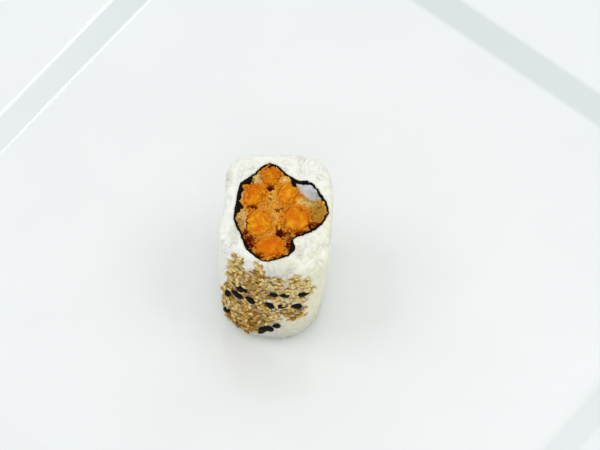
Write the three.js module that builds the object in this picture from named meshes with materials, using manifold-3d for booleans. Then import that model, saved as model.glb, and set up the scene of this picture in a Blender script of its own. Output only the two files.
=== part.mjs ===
// A vegetable sushi roll, cut straight across and stood on end on its square porcelain plate.
// Rice is on the outside, sesame seeds on one side of it; inside, a sheet of seaweed wraps
// six vegetable sticks in fried batter and a wedge of rice.
//
// Millimetres, +Z up. The origin is under the middle of the plate's foot.

import * as THREE from 'three';
import { mergeVertices } from 'three/addons/utils/BufferGeometryUtils.js';
import Module from 'manifold-3d';

const wasm = await Module();
wasm.setup();

// ---------------------------------------------------------------- driving dimensions

const GAP = 0.3;                 // clearance between pieces that touch

// plate
const PLATE_SIDE = 300;
const WELL_SIDE = 212.5;         // flat middle, up to the foot of the step
const STEP_WIDTH = 10.8;         // sloped band round the well
const STEP_RISE = 2.4;
const FLANGE_RISE = 0.9;         // from the top of the step out to the lip
const WALL = 4.8;                // porcelain thickness
const FOOT_HEIGHT = 2.4;
const FOOT_SIDE = 196;
const FOOT_WIDTH = 6;
const LIP_CORNER = 20;           // corner radius of the plate, seen from above
const WELL_CORNER = 13;          // corner radius of the well
const CORNER_STEPS = 7;

// roll
const ROLL_HEIGHT = 51;
const CUT_TILT = THREE.MathUtils.degToRad(6.5);   // the cut face dips towards the front
const BASE_SCALE = 0.935;         // the layers inside narrow towards the base
const LEAN_RIGHT = 2.6;
const LEAN_BACK = 3;
const FOOT_PULL = 0.035;         // share by which the foot is drawn in all round
const CORNER_PULL = 0.08;        // and more at its front left
const CORNER_AT = 243;           // where that is, and how far it reaches, in degrees
const CORNER_REACH = 22;
const PULL_HEIGHT = 14;
const ROLL_TURN = THREE.MathUtils.degToRad(38.9); // the roll's front faces a corner of the plate
const ROLL_PLACE = [-0.4, -14.7];                 // middle of the roll's base on the plate
const BASE_HALF = [17.6, 19.7];  // base of the rice, half width and half depth
const BASE_SQUARENESS = 2.6;
const EDGE_ROUND = 2.2;          // rounding of the rice where side and cut face meet

// seaweed
const SEAWEED_WALL = 0.8;

// small pieces, full sizes: length, width, thickness
const RICE_GRAIN = [6.2, 2.7, 2.2];
const SESAME_SEED = [3.1, 1.9, 1.0];
const GRAIN_STAND_OUT = 0.5;     // the body of rice lies this far inside the outline

// Cut face of the rice, seen from above with the front at the bottom: right, back.
const RICE_OUTLINE = [
  [18.8, 0], [18.7, 8.8], [16.1, 17.6], [7.8, 20.8], [-2.9, 21.4], [-12.2, 20.5], [-16.8, 16.6],
  [-17.7, 8.8], [-18.8, 1], [-20, -6.8], [-18.3, -12.2], [-11.7, -17], [-3.9, -20.7],
  [4.9, -21.6], [14.1, -20.7], [17.2, -16.6], [17.9, -7.8],
];

// Outside of the seaweed: a lobed ring, pulled in at its front right where the sheet ends.
const SEAWEED_OUTLINE = [
  [16.6, 0.2], [15.6, 3.3], [13.3, 7], [10.9, 9.8], [6.8, 10.8], [4, 12.1], [-0.7, 16],
  [-3.6, 16.5], [-7.6, 13.2], [-12.3, 9.2], [-13.9, 1.7], [-14.4, -3], [-11.9, -9.2],
  [-10.6, -13.2], [-7.6, -16.2], [-4.5, -18], [-0.7, -17.5], [3.5, -15.8], [5.6, -13.6],
  [5, -10.3], [8.3, -8.7], [11.9, -7], [15, -4.1],
];

// Where the sheet lies double or is folded: place, reach and extra thickness.
const SEAWEED_FOLDS = [
  { at: [-13.7, 3.9], reach: 6.5, extra: 0.9 },
  { at: [5.2, 11.4], reach: 1.8, extra: 1 },
  { at: [4.9, -13.2], reach: 2.2, extra: 1.1 },
];

// Vegetable sticks at the cut: middle, full width and depth, turn in degrees, and how far the
// end stands above the cut.
const STICKS = [
  { name: 'stick_back', at: [-2.4, 12.2], size: [5.3, 4.8], turn: 12, proud: 0.1 },
  { name: 'stick_back_left', at: [-7.9, 5.4], size: [5.8, 6.6], turn: -14, proud: 0.2 },
  { name: 'stick_back_right', at: [3.1, 5.7], size: [5.1, 5.8], turn: -8, proud: 0.1 },
  { name: 'stick_middle_left', at: [-6.1, -4.5], size: [7.2, 7], turn: 8, proud: 0.2 },
  { name: 'stick_middle_right', at: [5.9, -3.2], size: [7.7, 7.3], turn: -10, proud: 0.6 },
  { name: 'stick_front', at: [-2.5, -12.9], size: [8.6, 5.8], turn: 4, proud: 0.2 },
];
const STICK_SQUARENESS = 3;

// Wedge of rice against the seaweed at the back right; it is trimmed by the seaweed.
const WEDGE_OUTLINE = [
  [6, 8.4], [7.4, 6], [8.9, 4.3], [11.2, 3.2], [13.4, 3.4], [17, 5], [13.7, 11.7], [6.6, 12.7],
];

// Holes in the batter at the cut: place, radius and depth.
const PITS = [
  { at: [-2.4, 8], radius: 1.6, depth: 2.6 },
  { at: [-7.4, 0.6], radius: 1, depth: 1.2 },
  { at: [-0.3, 0.1], radius: 1.3, depth: 1.6 },
  { at: [0.6, -7.9], radius: 1.9, depth: 3.2 },
];

// ---------------------------------------------------------------- materials

const finish = (color, roughness) => new THREE.MeshStandardMaterial({ color, roughness, metalness: 0 });
const PORCELAIN = finish(0xf1f4f3, 0.18);
const RICE = finish(0xf0f0ea, 0.55);
const SEAWEED = finish(0x1c1d16, 0.5);
const BATTER = finish(0xd9953a, 0.7);
const VEGETABLE = finish(0xf08a1e, 0.45);

// ---------------------------------------------------------------- helpers

// Repeatable draws between low and high.
function randomDraws(seed) {
  let state = seed;
  return (low = 0, high = 1) => {
    state = (state * 1664525 + 1013904223) >>> 0;
    return low + (high - low) * (state / 2 ** 32);
  };
}

// Moves every corner of a geometry: move(point, index) changes the point.
function reshape(geometry, move) {
  const position = geometry.getAttribute('position');
  const point = new THREE.Vector3();
  for (let i = 0; i < position.count; i += 1) {
    point.fromBufferAttribute(position, i);
    move(point, i);
    position.setXYZ(i, point.x, point.y, point.z);
  }
  return geometry;
}

// A closed geometry as a solid that can be joined and cut.
function toSolid(geometry) {
  const bare = new THREE.BufferGeometry();
  bare.setAttribute('position', geometry.getAttribute('position').clone());
  if (geometry.index) bare.setIndex(geometry.index.clone());
  const merged = mergeVertices(bare, 1e-4);
  const index = merged.index.array;
  const corners = [];
  for (let i = 0; i < index.length; i += 3) {
    const [a, b, c] = [index[i], index[i + 1], index[i + 2]];
    if (a !== b && b !== c && c !== a) corners.push(a, b, c);
  }
  return new wasm.Manifold(new wasm.Mesh({
    numProp: 3,
    vertProperties: new Float32Array(merged.getAttribute('position').array),
    triVerts: new Uint32Array(corners),
  }));
}

function toGeometry(solid) {
  const mesh = solid.getMesh();
  const geometry = new THREE.BufferGeometry();
  geometry.setAttribute('position', new THREE.BufferAttribute(new Float32Array(mesh.vertProperties), 3));
  geometry.setIndex(new THREE.BufferAttribute(new Uint32Array(mesh.triVerts), 1));
  return geometry;
}

// A smooth closed line through the points, cut into even steps.
function smoothOutline(points, steps) {
  const curve = new THREE.CatmullRomCurve3(points.map(([x, y]) => new THREE.Vector3(x, y, 0)), true);
  return curve.getSpacedPoints(steps).slice(0, steps).map((p) => new THREE.Vector2(p.x, p.y));
}

// An anticlockwise outline moved outwards; distance is a number or a function of the point.
function offsetOutline(outline, distance) {
  const count = outline.length;
  return outline.map((point, i) => {
    const before = point.clone().sub(outline[(i + count - 1) % count]).normalize();
    const after = outline[(i + 1) % count].clone().sub(point).normalize();
    const along = before.clone().add(after).normalize();
    const mitre = 1 / Math.max(0.6, along.dot(after));
    const by = typeof distance === 'function' ? distance(point) : distance;
    return new THREE.Vector2(point.x + along.y * by * mitre, point.y - along.x * by * mitre);
  });
}

function superellipse([halfX, halfY], squareness, steps) {
  return Array.from({ length: steps }, (_, i) => {
    const angle = (2 * Math.PI * i) / steps;
    const [c, s] = [Math.cos(angle), Math.sin(angle)];
    return new THREE.Vector2(
      halfX * Math.sign(c) * Math.abs(c) ** (2 / squareness),
      halfY * Math.sign(s) * Math.abs(s) ** (2 / squareness),
    );
  });
}

function prism(outline, bottom, top) {
  const geometry = new THREE.ExtrudeGeometry(new THREE.Shape(outline), {
    depth: top - bottom,
    bevelEnabled: false,
  });
  return toSolid(geometry.translate(0, 0, bottom));
}

// ---------------------------------------------------------------- plate

// Turns a profile round Z, then pulls each of its circles out to a rounded square.
function squareBody(profile) {
  const perCorner = CORNER_STEPS + 1;
  const turned = new THREE.LatheGeometry(profile.map(([r, z]) => new THREE.Vector2(r, z)), 4 * perCorner);
  return reshape(turned, (point, i) => {
    const segment = Math.floor(i / profile.length) % (4 * perCorner);
    const [half, z] = profile[i % profile.length];
    const corner = half < WELL_SIDE / 2
      ? (WELL_CORNER * half) / (WELL_SIDE / 2)
      : THREE.MathUtils.mapLinear(half, WELL_SIDE / 2, PLATE_SIDE / 2, WELL_CORNER, LIP_CORNER);
    const quarter = Math.floor(segment / perCorner);
    const angle = (Math.PI / 2) * (quarter + (segment % perCorner) / CORNER_STEPS);
    const middle = half - corner;
    const signX = quarter === 0 || quarter === 3 ? 1 : -1;
    const signY = quarter < 2 ? 1 : -1;
    point.set(signX * middle + corner * Math.cos(angle), signY * middle + corner * Math.sin(angle), z);
  });
}

const WELL_TOP = FOOT_HEIGHT + WALL;
const FLANGE_TOP = WELL_TOP + STEP_RISE;
const LIP_TOP = FLANGE_TOP + FLANGE_RISE;

function plateMesh() {
  const well = WELL_SIDE / 2;
  const lip = PLATE_SIDE / 2;
  const foot = FOOT_SIDE / 2;
  const bend = 1.6;              // reach of the rounded bend at each edge of the step
  const bendRise = (STEP_RISE * bend) / STEP_WIDTH;
  const under = (z) => z - WALL;
  const profile = [
    [0, FOOT_HEIGHT],
    [foot - FOOT_WIDTH - 1.5, FOOT_HEIGHT],
    [foot - FOOT_WIDTH, FOOT_HEIGHT - 1.2],
    [foot - FOOT_WIDTH + 1.2, 0],
    [foot - 1.2, 0],
    [foot, 1.2],
    [foot + 1.5, FOOT_HEIGHT],
    [well + 3, under(WELL_TOP)],
    [well + STEP_WIDTH + 4, under(FLANGE_TOP)],
    [lip - 5, under(LIP_TOP) + 0.4],
    [lip - 1.6, under(LIP_TOP) + 1.5],
    [lip - 0.2, under(LIP_TOP) + 2.6],
    [lip, under(LIP_TOP) + 3.4],
    [lip - 0.5, LIP_TOP - 0.4],
    [lip - 1.8, LIP_TOP],
    [lip - 4.5, LIP_TOP - 0.1],
    [well + STEP_WIDTH + bend, FLANGE_TOP + 0.02],
    [well + STEP_WIDTH, FLANGE_TOP - bendRise / 3],
    [well + STEP_WIDTH - bend, FLANGE_TOP - bendRise],
    [well + bend, WELL_TOP + bendRise],
    [well, WELL_TOP + bendRise / 3],
    [well - bend, WELL_TOP],
    [0, WELL_TOP],
  ];
  const plate = new THREE.Mesh(toGeometry(toSolid(squareBody(profile))), PORCELAIN);
  plate.name = 'plate';
  return plate;
}

// ---------------------------------------------------------------- roll, built upright

// How far the foot of the roll is drawn in towards its middle line at a point, as a share.
function drawnIn({ x, y, z }) {
  const degrees = THREE.MathUtils.euclideanModulo(THREE.MathUtils.radToDeg(Math.atan2(y, x)), 360);
  const away = (degrees - CORNER_AT) / CORNER_REACH;
  return (FOOT_PULL + CORNER_PULL * Math.exp(-away * away)) * Math.max(0, 1 - z / PULL_HEIGHT) ** 2;
}

// The roll's pieces are made straight, with the base at z = 0 and a level cut, and then stood
// as the real one is: narrower at the base, leaning, and with its cut dipping to the front.
function stand(geometry) {
  return reshape(geometry, (point) => {
    const up = point.z / ROLL_HEIGHT;
    const scale = THREE.MathUtils.lerp(BASE_SCALE, 1, up) * (1 - drawnIn(point));
    point.z += up * point.y * Math.tan(CUT_TILT);
    point.x = point.x * scale + LEAN_RIGHT * up;
    point.y = point.y * scale + LEAN_BACK * up;
  });
}

const seaweedWall = (point) => SEAWEED_FOLDS.reduce((wall, { at, reach, extra }) => {
  const away = point.distanceTo(new THREE.Vector2(...at)) / reach;
  return wall + extra * Math.exp(-away * away);
}, SEAWEED_WALL);

const seaweedOutside = smoothOutline(SEAWEED_OUTLINE, 60);
const seaweedInside = offsetOutline(seaweedOutside, (point) => -seaweedWall(point));
const fillingOutline = offsetOutline(seaweedInside, -GAP);

// Distance from the roll's middle line to an outline, by angle.
function radiusByAngle(outline) {
  const polar = outline
    .map((p) => [Math.atan2(p.y, p.x), p.length()])
    .sort((a, b) => a[0] - b[0]);
  const first = polar[0];
  const last = polar[polar.length - 1];
  polar.unshift([last[0] - 2 * Math.PI, last[1]]);
  polar.push([first[0] + 2 * Math.PI, first[1]]);
  return (angle) => {
    const wrapped = Math.atan2(Math.sin(angle), Math.cos(angle));
    const next = polar.findIndex(([a]) => a > wrapped);
    const [a0, r0] = polar[next - 1];
    const [a1, r1] = polar[next];
    return THREE.MathUtils.mapLinear(wrapped, a0, a1, r0, r1);
  };
}

const cutRadius = radiusByAngle(smoothOutline(RICE_OUTLINE, 180));
const baseRadius = radiusByAngle(superellipse(BASE_HALF.map((half) => half / BASE_SCALE), BASE_SQUARENESS, 180));
const riceRadius = (angle, z) => THREE.MathUtils.lerp(
  baseRadius(angle),
  cutRadius(angle),
  THREE.MathUtils.smoothstep(z, 0, ROLL_HEIGHT),
) - GRAIN_STAND_OUT;

function ricePoint(angle, z) {
  const radius = riceRadius(angle, z);
  return new THREE.Vector3(radius * Math.cos(angle), radius * Math.sin(angle), z);
}

// The bare body of rice, still solid, with rounded edges at its base and at the cut.
function riceBody() {
  const steps = 38;
  const top = ROLL_HEIGHT;
  const profile = [
    [0, 0], [0.9, 0], [0.97, 0.7], [1, 2.4], [1, 8], [1, top / 3], [1, (2 * top) / 3],
    [1, top - EDGE_ROUND], [0.975, top - EDGE_ROUND / 3], [0.93, top], [0, top],
  ];
  const turned = new THREE.LatheGeometry(profile.map(([r, z]) => new THREE.Vector2(r, z)), steps);
  return toSolid(reshape(turned, (point, i) => {
    const angle = (2 * Math.PI * Math.floor(i / profile.length)) / steps;
    const [share, z] = profile[i % profile.length];
    const radius = share * riceRadius(angle, z);
    point.set(radius * Math.cos(angle), radius * Math.sin(angle), z);
  }));
}

// One small piece lying on a surface: a six-sided rod with short pointed ends, narrower towards
// one end by pinch, laid along the surface with a turn and sunk into it.
function laidPiece([length, width, thickness], pinch, place, outward, turn, sunk) {
  const straight = 1.8;
  const half = straight / 2 + 1;
  const piece = new THREE.CapsuleGeometry(1, straight, 1, 6).rotateZ(-Math.PI / 2);
  reshape(piece, (point) => {
    const along = point.x / half;
    const narrow = 1.08 * (1 - pinch * along);
    point.set(
      (along * length) / 2,
      (point.y * width * narrow) / 2,
      (point.z * thickness * narrow) / 2,
    );
  });
  const toSurface = new THREE.Quaternion().setFromUnitVectors(new THREE.Vector3(0, 0, 1), outward);
  const turned = new THREE.Quaternion().setFromAxisAngle(new THREE.Vector3(0, 0, 1), turn);
  piece.applyQuaternion(toSurface.multiply(turned));
  const middle = place.clone().addScaledVector(outward, thickness / 2 - sunk);
  return toSolid(piece.translate(middle.x, middle.y, middle.z));
}

function outwardAt(angle, z) {
  const step = 0.05;
  const round = ricePoint(angle + step, z).sub(ricePoint(angle - step, z));
  const up = ricePoint(angle, z + 1).sub(ricePoint(angle, z - 1));
  return round.cross(up).normalize();
}

// How thickly sesame covers the side, 0 to 1, by angle (degrees from the right, anticlockwise)
// and height: close at the left and front, thinning to bare rice at the right and the back.
function sesameCover(angle, z) {
  const degrees = THREE.MathUtils.euclideanModulo(THREE.MathUtils.radToDeg(angle), 360);
  const fromBack = THREE.MathUtils.smoothstep(degrees, 118, 176);
  const toRight = 1 - THREE.MathUtils.smoothstep(degrees, 276, 322);
  const up = z / ROLL_HEIGHT;
  const level = degrees > 262 ? THREE.MathUtils.smoothstep(up, 0.02, 0.2) : 1;
  return fromBack * toRight * level;
}

const GOLDEN_ANGLE = Math.PI * (3 - Math.sqrt(5));

// Spots spread evenly round the side on a spiral from the base to the cut.
function sideSpots(count, lowest, highest, draw) {
  return Array.from({ length: count }, (_, i) => ({
    angle: i * GOLDEN_ANGLE + draw(-0.08, 0.08),
    z: THREE.MathUtils.lerp(lowest, highest, (i + 0.5) / count) + draw(-0.5, 0.5),
  }));
}

function sesameSeeds() {
  const draw = randomDraws(23);
  return sideSpots(240, 3, ROLL_HEIGHT - 1.6, draw)
    .filter(({ angle, z }) => draw() < sesameCover(angle, z))
    .map(({ angle, z }) => laidPiece(
      SESAME_SEED, 0.32, ricePoint(angle, z), outwardAt(angle, z), draw(0, 2 * Math.PI), 0.25,
    ));
}

function sideGrains() {
  const draw = randomDraws(7);
  return sideSpots(116, 3.4, ROLL_HEIGHT - 3.4, draw)
    .filter(({ angle, z }) => sesameCover(angle, z) < 0.75)
    .map(({ angle, z }) => laidPiece(
      RICE_GRAIN, 0, ricePoint(angle, z), outwardAt(angle, z), draw(0, 2 * Math.PI), 1.2,
    ));
}

// Grains on the cut, spread like a sunflower's seeds and kept where they fit between the
// seaweed and the edge.
function cutGrains() {
  const draw = randomDraws(11);
  const seaweedRadius = radiusByAngle(seaweedOutside);
  const up = new THREE.Vector3(0, 0, 1);
  const room = RICE_GRAIN[1] / 2;
  const count = 96;
  const grains = [];
  for (let i = 0; i < count; i += 1) {
    const angle = i * GOLDEN_ANGLE;
    const radius = 21 * Math.sqrt((i + 0.5) / count);
    if (radius > seaweedRadius(angle) + room && radius < 0.93 * cutRadius(angle) - room) {
      const place = new THREE.Vector3(radius * Math.cos(angle), radius * Math.sin(angle), ROLL_HEIGHT);
      const turn = angle + Math.PI / 2 + draw(-0.7, 0.7);
      grains.push(laidPiece(RICE_GRAIN, 0, place, up, turn, 1.5));
    }
  }
  return grains;
}

function riceMesh() {
  const covered = wasm.Manifold.union([riceBody(), ...sideGrains(), ...cutGrains(), ...sesameSeeds()]);
  const opening = prism(offsetOutline(seaweedOutside, GAP), -1, ROLL_HEIGHT + 5);
  return rollMesh('rice', covered.subtract(opening), RICE);
}

function rollMesh(name, solid, material) {
  const mesh = new THREE.Mesh(stand(toGeometry(solid.simplify(0.02))), material);
  mesh.name = name;
  return mesh;
}

function seaweedMesh() {
  const sheet = prism(seaweedOutside, 0, ROLL_HEIGHT + 0.3);
  return rollMesh('seaweed', sheet.subtract(prism(seaweedInside, -1, ROLL_HEIGHT + 1)), SEAWEED);
}

const wedgeOutline = smoothOutline(WEDGE_OUTLINE, 24);

function wedgeMesh() {
  const inside = prism(fillingOutline, 0, ROLL_HEIGHT + 0.2);
  return rollMesh('rice_wedge', inside.intersect(prism(wedgeOutline, -1, ROLL_HEIGHT + 1)), RICE);
}

function stickOutline({ at, size, turn }, grow) {
  const middle = new THREE.Vector2(...at);
  return superellipse([size[0] / 2 + grow, size[1] / 2 + grow], STICK_SQUARENESS, 20)
    .map((p) => p.rotateAround(new THREE.Vector2(), THREE.MathUtils.degToRad(turn)).add(middle));
}

function stickMesh(stick) {
  return rollMesh(stick.name, prism(stickOutline(stick, 0), 0, ROLL_HEIGHT + stick.proud), VEGETABLE);
}

// Lumps of batter standing a little above the cut, on a sunflower spread over the filling.
function batterCrumbs() {
  const draw = randomDraws(5);
  const count = 42;
  const crumbs = [];
  for (let i = 0; i < count; i += 1) {
    const radius = 17 * Math.sqrt((i + 0.5) / count);
    const angle = i * GOLDEN_ANGLE;
    const size = draw(0.9, 1.7);
    const crumb = new THREE.IcosahedronGeometry(size, 0)
      .rotateX(draw(0, Math.PI))
      .rotateZ(draw(0, Math.PI))
      .translate(radius * Math.cos(angle), radius * Math.sin(angle) - 1, ROLL_HEIGHT - size * 0.35);
    crumbs.push(toSolid(crumb));
  }
  return crumbs;
}

function batterMesh() {
  const top = ROLL_HEIGHT + 5;
  const within = prism(fillingOutline, 0, top);
  const body = prism(fillingOutline, 0, ROLL_HEIGHT - 0.4);
  const pits = PITS.map(({ at, radius, depth }) => toSolid(
    new THREE.IcosahedronGeometry(1, 1).scale(radius, radius, depth).translate(...at, ROLL_HEIGHT + 0.2),
  ));
  const batter = wasm.Manifold.union([body, ...batterCrumbs()])
    .intersect(within)
    .subtract(wasm.Manifold.union([
      prism(offsetOutline(wedgeOutline, GAP), -1, top),
      ...STICKS.map((stick) => prism(stickOutline(stick, GAP), -1, top)),
      ...pits,
    ]));
  const pieces = batter.decompose().sort((a, b) => b.volume() - a.volume());
  return rollMesh('batter', pieces[0], BATTER);
}

const roll = new THREE.Group();
roll.add(riceMesh(), seaweedMesh(), batterMesh(), wedgeMesh(), ...STICKS.map(stickMesh));
roll.position.set(...ROLL_PLACE, WELL_TOP + GAP);
roll.rotation.z = ROLL_TURN;

const model = new THREE.Group();
model.add(plateMesh(), roll);

export default model;
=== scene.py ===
"""Dresses the packed vegetable sushi roll and its square plate.

The roll is modelled upright and straight, as in the part's source: its base at height 0 and a
level cut. stood() then narrows its base, leans it, dips its cut to the front and puts it on the
plate. Lengths are in metres and angles round the roll run anticlockwise from its right, with its
front at 270 degrees, facing the camera.
"""

import math

import bpy
import numpy as np
from bpy.props import FloatProperty, FloatVectorProperty, IntProperty, PointerProperty
from bpy.types import Operator, Panel, PropertyGroup
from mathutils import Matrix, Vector, kdtree, noise


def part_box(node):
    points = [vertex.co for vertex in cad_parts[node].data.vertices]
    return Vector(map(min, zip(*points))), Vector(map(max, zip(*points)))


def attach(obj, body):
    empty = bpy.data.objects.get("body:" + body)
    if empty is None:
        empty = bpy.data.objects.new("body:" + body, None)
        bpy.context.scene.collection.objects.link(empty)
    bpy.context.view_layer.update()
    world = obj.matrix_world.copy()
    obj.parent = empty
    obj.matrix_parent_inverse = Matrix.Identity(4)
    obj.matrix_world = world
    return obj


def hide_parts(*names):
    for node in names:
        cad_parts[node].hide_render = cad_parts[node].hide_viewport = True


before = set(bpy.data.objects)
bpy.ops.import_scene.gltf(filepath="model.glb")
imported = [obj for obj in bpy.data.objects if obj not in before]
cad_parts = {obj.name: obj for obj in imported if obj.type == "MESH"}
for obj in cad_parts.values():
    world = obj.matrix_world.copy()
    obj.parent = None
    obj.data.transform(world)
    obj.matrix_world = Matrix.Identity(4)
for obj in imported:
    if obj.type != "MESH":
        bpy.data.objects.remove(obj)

bl_info = {
    "name": "Vegetable sushi roll on a square plate",
    "version": (1, 0, 0),
    "blender": (4, 5, 0),
    "location": "3D View > Sidebar > Sushi Roll",
    "description": "Glazed plate, packed rice, sesame, seaweed, batter and vegetable sticks",
    "category": "Add Mesh",
}

MM = 0.001

# ---------------------------------------------------------------- sizes

# Plate: its outer size and height come from the packed model, and its well is at WELL_TOP.
PLATE_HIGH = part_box("plate")[1]
PLATE_HALF = PLATE_HIGH.x
LIP_TOP = PLATE_HIGH.z
FLANGE_RISE = 0.9 * MM
STEP_RISE = 2.4 * MM
FLANGE_TOP = LIP_TOP - FLANGE_RISE
WELL_TOP = FLANGE_TOP - STEP_RISE
WELL_HALF = 106.25 * MM
WELL_CORNER = 13 * MM
STEP_WIDTH = 10.8 * MM
PLATE_WALL = 4.8 * MM
FOOT_HEIGHT = WELL_TOP - PLATE_WALL
FOOT_HALF = 98 * MM
FOOT_WIDTH = 6 * MM

# Roll: its height, how it is narrowed, leant, turned and placed, and how its edges are rounded.
ROLL_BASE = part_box("stick_middle_left")[0].z
ROLL_HEIGHT = 51 * MM
CUT_TILT = math.radians(6.5)
BASE_SCALE = 0.935
LEAN_RIGHT = 2.6 * MM
LEAN_BACK = 3 * MM
ROLL_TURN = math.radians(38.9)
ROLL_PLACE = (-0.4 * MM, -14.7 * MM)
BASE_HALF = (17.6 * MM, 19.7 * MM)
BASE_SQUARENESS = 2.6
FOOT_PULL = 0.035
CORNER_PULL = 0.08
CORNER_AT = 243
CORNER_REACH = 22
PULL_HEIGHT = 14 * MM
EDGE_ROUND = 2.6 * MM
FOOT_ROUND = 3.6 * MM
GRAIN_STAND_OUT = 0.5 * MM
SEAWEED_GAP = 0.05 * MM

# Cut face of the rice, in millimetres: right, back.
RICE_OUTLINE = [
    (18.8, 0), (18.7, 8.8), (16.1, 17.6), (7.8, 20.8), (-2.9, 21.4), (-12.2, 20.5), (-16.8, 16.6),
    (-17.7, 8.8), (-18.8, 1), (-20, -6.8), (-18.3, -12.2), (-11.7, -17), (-3.9, -20.7),
    (4.9, -21.6), (14.1, -20.7), (17.2, -16.6), (17.9, -7.8),
]

# Outside of the seaweed at the cut, and its thickness there, thicker where it lies double or is
# folded and in places widened so the black sheet also covers painted shade beside it, in
# millimetres: right, back, thickness. The marks between only give a thickness.
SEAWEED = [
    (16.6, 0.2, 0.45), (15.6, 3.3, 0.6), (13.3, 7, 0.35), (10.9, 9.8, 0.4), (6.8, 10.8, 1.8),
    (4, 12.1, 0.7), (-0.7, 16, 0.6), (-3.6, 16.5, 0.5), (-7.6, 13.2, 0.5), (-12.3, 9.2, 1.3),
    (-13.9, 1.7, 1.9), (-14.4, -3, 0.7), (-11.9, -9.2, 0.7), (-10.6, -13.2, 0.9),
    (-7.6, -16.2, 0.5), (-4.5, -18, 0.4), (-0.7, -17.5, 0.4), (3.5, -15.8, 0.6),
    (5.6, -13.6, 1.5), (5, -10.3, 0.5), (8.3, -8.7, 0.5), (11.9, -7, 0.8), (15, -4.1, 0.6),
]
SEAWEED_OUTLINE = [(right, back) for right, back, _ in SEAWEED]
SEAWEED_BETWEEN = [(-9.9, 11.3, 2.0), (-13.4, 5.6, 1.2), (6.1, 11.0, 2.7), (8.6, 10.4, 0.8)]

# Outline of the rice wedge at the cut, its side along the batter, and its greyest place, in
# millimetres: right, back.
WEDGE_OUTLINE = [
    (6, 8.4), (7.4, 6), (8.9, 4.3), (11.2, 3.2), (13.4, 3.4), (17, 5), (13.7, 11.7), (6.6, 12.7),
]
WEDGE_BY_BATTER = [(5.6, 9.5), (6.8, 5.6), (10.5, 2.9), (13.6, 3)]
WEDGE_GREYEST = (14.6, 3.8)

# Vegetable sticks: node, right, back, width, depth, turn in degrees, and how far the end stands
# above the cut, in millimetres.
STICKS = [
    ("stick_back", -2.4, 12.2, 5.3, 4.8, 12, 0.1),
    ("stick_back_left", -7.9, 5.4, 5.8, 6.6, -14, 0.2),
    ("stick_back_right", 3.1, 5.7, 5.1, 5.8, -8, 0.1),
    ("stick_middle_left", -6.1, -4.5, 7.2, 7, 8, 0.2),
    ("stick_middle_right", 5.9, -3.2, 7.7, 7.3, -10, 0.6),
    ("stick_front", -2.5, -12.9, 8.6, 5.8, 4, 0.2),
]
STICK_SQUARENESS = 2.5
SMOOTH_STICK = "stick_middle_right"

# How amber, rather than orange, each stick is, how dull and how bright with pale fibres.
STICK_TONES = {
    "stick_back": (0.9, 0.35, 0),
    "stick_back_left": (0.4, 0.05, 0.1),
    "stick_back_right": (0.6, 0, 0.9),
    "stick_middle_left": (0.5, 0, 0.55),
    "stick_middle_right": (0.85, 0.05, 0.1),
    "stick_front": (0.2, 0.2, 0.05),
}

# Holes in the batter at the cut: right, back, half width and half depth in millimetres, and how
# deep, from 0 to 1.
PITS = [
    (-2.4, 8, 1.5, 1.3, 0.9), (-7.4, 0.9, 1.6, 0.7, 0.35), (-0.3, 0.1, 1.2, 1.0, 0.42),
    (0.6, -7.8, 1.6, 1.9, 0.9),
]

# Turn from one place to the next that spreads places evenly over a spiral.
GOLDEN_ANGLE = math.pi * (3 - math.sqrt(5))

# ---------------------------------------------------------------- settings

COLOUR = {"subtype": "COLOR", "size": 3, "min": 0, "max": 1}


class PlateSettings(PropertyGroup):
    """Finish of the plate"""

    bend: FloatProperty(
        name="Bend", description="Reach of the rounded bends at the step",
        default=1.6 * MM, unit="LENGTH",
    )
    glaze: FloatVectorProperty(
        name="Glaze", description="Colour of the porcelain under its clear glaze",
        default=(0.86, 0.88, 0.875), **COLOUR,
    )
    # Painted shade: this colour darkens the step between the well and the flange.
    pooled: FloatVectorProperty(
        name="Pooled glaze", description="Colour where the glaze runs thick on the step",
        default=(0.67, 0.73, 0.715), **COLOUR,
    )


class RiceSettings(PropertyGroup):
    """Rice round the roll, and the wedge of rice in it"""

    length: FloatProperty(
        name="Length", description="Full length of a cooked grain", default=6.2 * MM, unit="LENGTH",
    )
    width: FloatProperty(
        name="Width", description="Full width of a cooked grain", default=2.7 * MM, unit="LENGTH",
    )
    thickness: FloatProperty(
        name="Thickness", description="Full thickness of a pressed grain",
        default=1.9 * MM, unit="LENGTH",
    )
    side_count: IntProperty(
        name="Side grains", description="Grains spread over the side of the roll", default=700, min=1,
    )
    cut_count: IntProperty(
        name="Cut grains", description="Grains spread over the whole cut before the filling's "
        "share is left out", default=260, min=1,
    )
    white: FloatVectorProperty(
        name="White", description="Colour of the plain grains", default=(0.90, 0.905, 0.85), **COLOUR,
    )
    # Besides the grains' own cream tones, this colour is laid on as painted warm light towards the right
    # side of the roll.
    cream: FloatVectorProperty(
        name="Cream", description="Colour of the grains stained by oil and sesame",
        default=(0.87, 0.83, 0.56), **COLOUR,
    )
    # Painted shade: this colour greys the rice towards its foot and in patches by the front of the cut.
    dull: FloatVectorProperty(
        name="Dull", description="Colour of the greyer rice at the foot and by the cut",
        default=(0.50, 0.49, 0.38), **COLOUR,
    )
    # Painted shade: this colour darkens the rice between close-packed seeds.
    stain: FloatVectorProperty(
        name="Stain", description="Colour of the oil and crumbs of sesame between the seeds",
        default=(0.34, 0.19, 0.035), **COLOUR,
    )
    wedge: FloatVectorProperty(
        name="Wedge", description="Colour of the rice inside the seaweed",
        default=(0.68, 0.70, 0.71), **COLOUR,
    )
    wedge_patches: FloatVectorProperty(
        name="Wedge patches", description="Colour of the greyer patches of the wedge",
        default=(0.48, 0.48, 0.47), **COLOUR,
    )
    wedge_grey: FloatVectorProperty(
        name="Grey wedge", description="Colour of the wedge at its greyest, towards its right end",
        default=(0.20, 0.22, 0.24), **COLOUR,
    )
    wedge_cream: FloatVectorProperty(
        name="Cream wedge", description="Colour of the wedge along the batter",
        default=(0.66, 0.53, 0.30), **COLOUR,
    )


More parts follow.
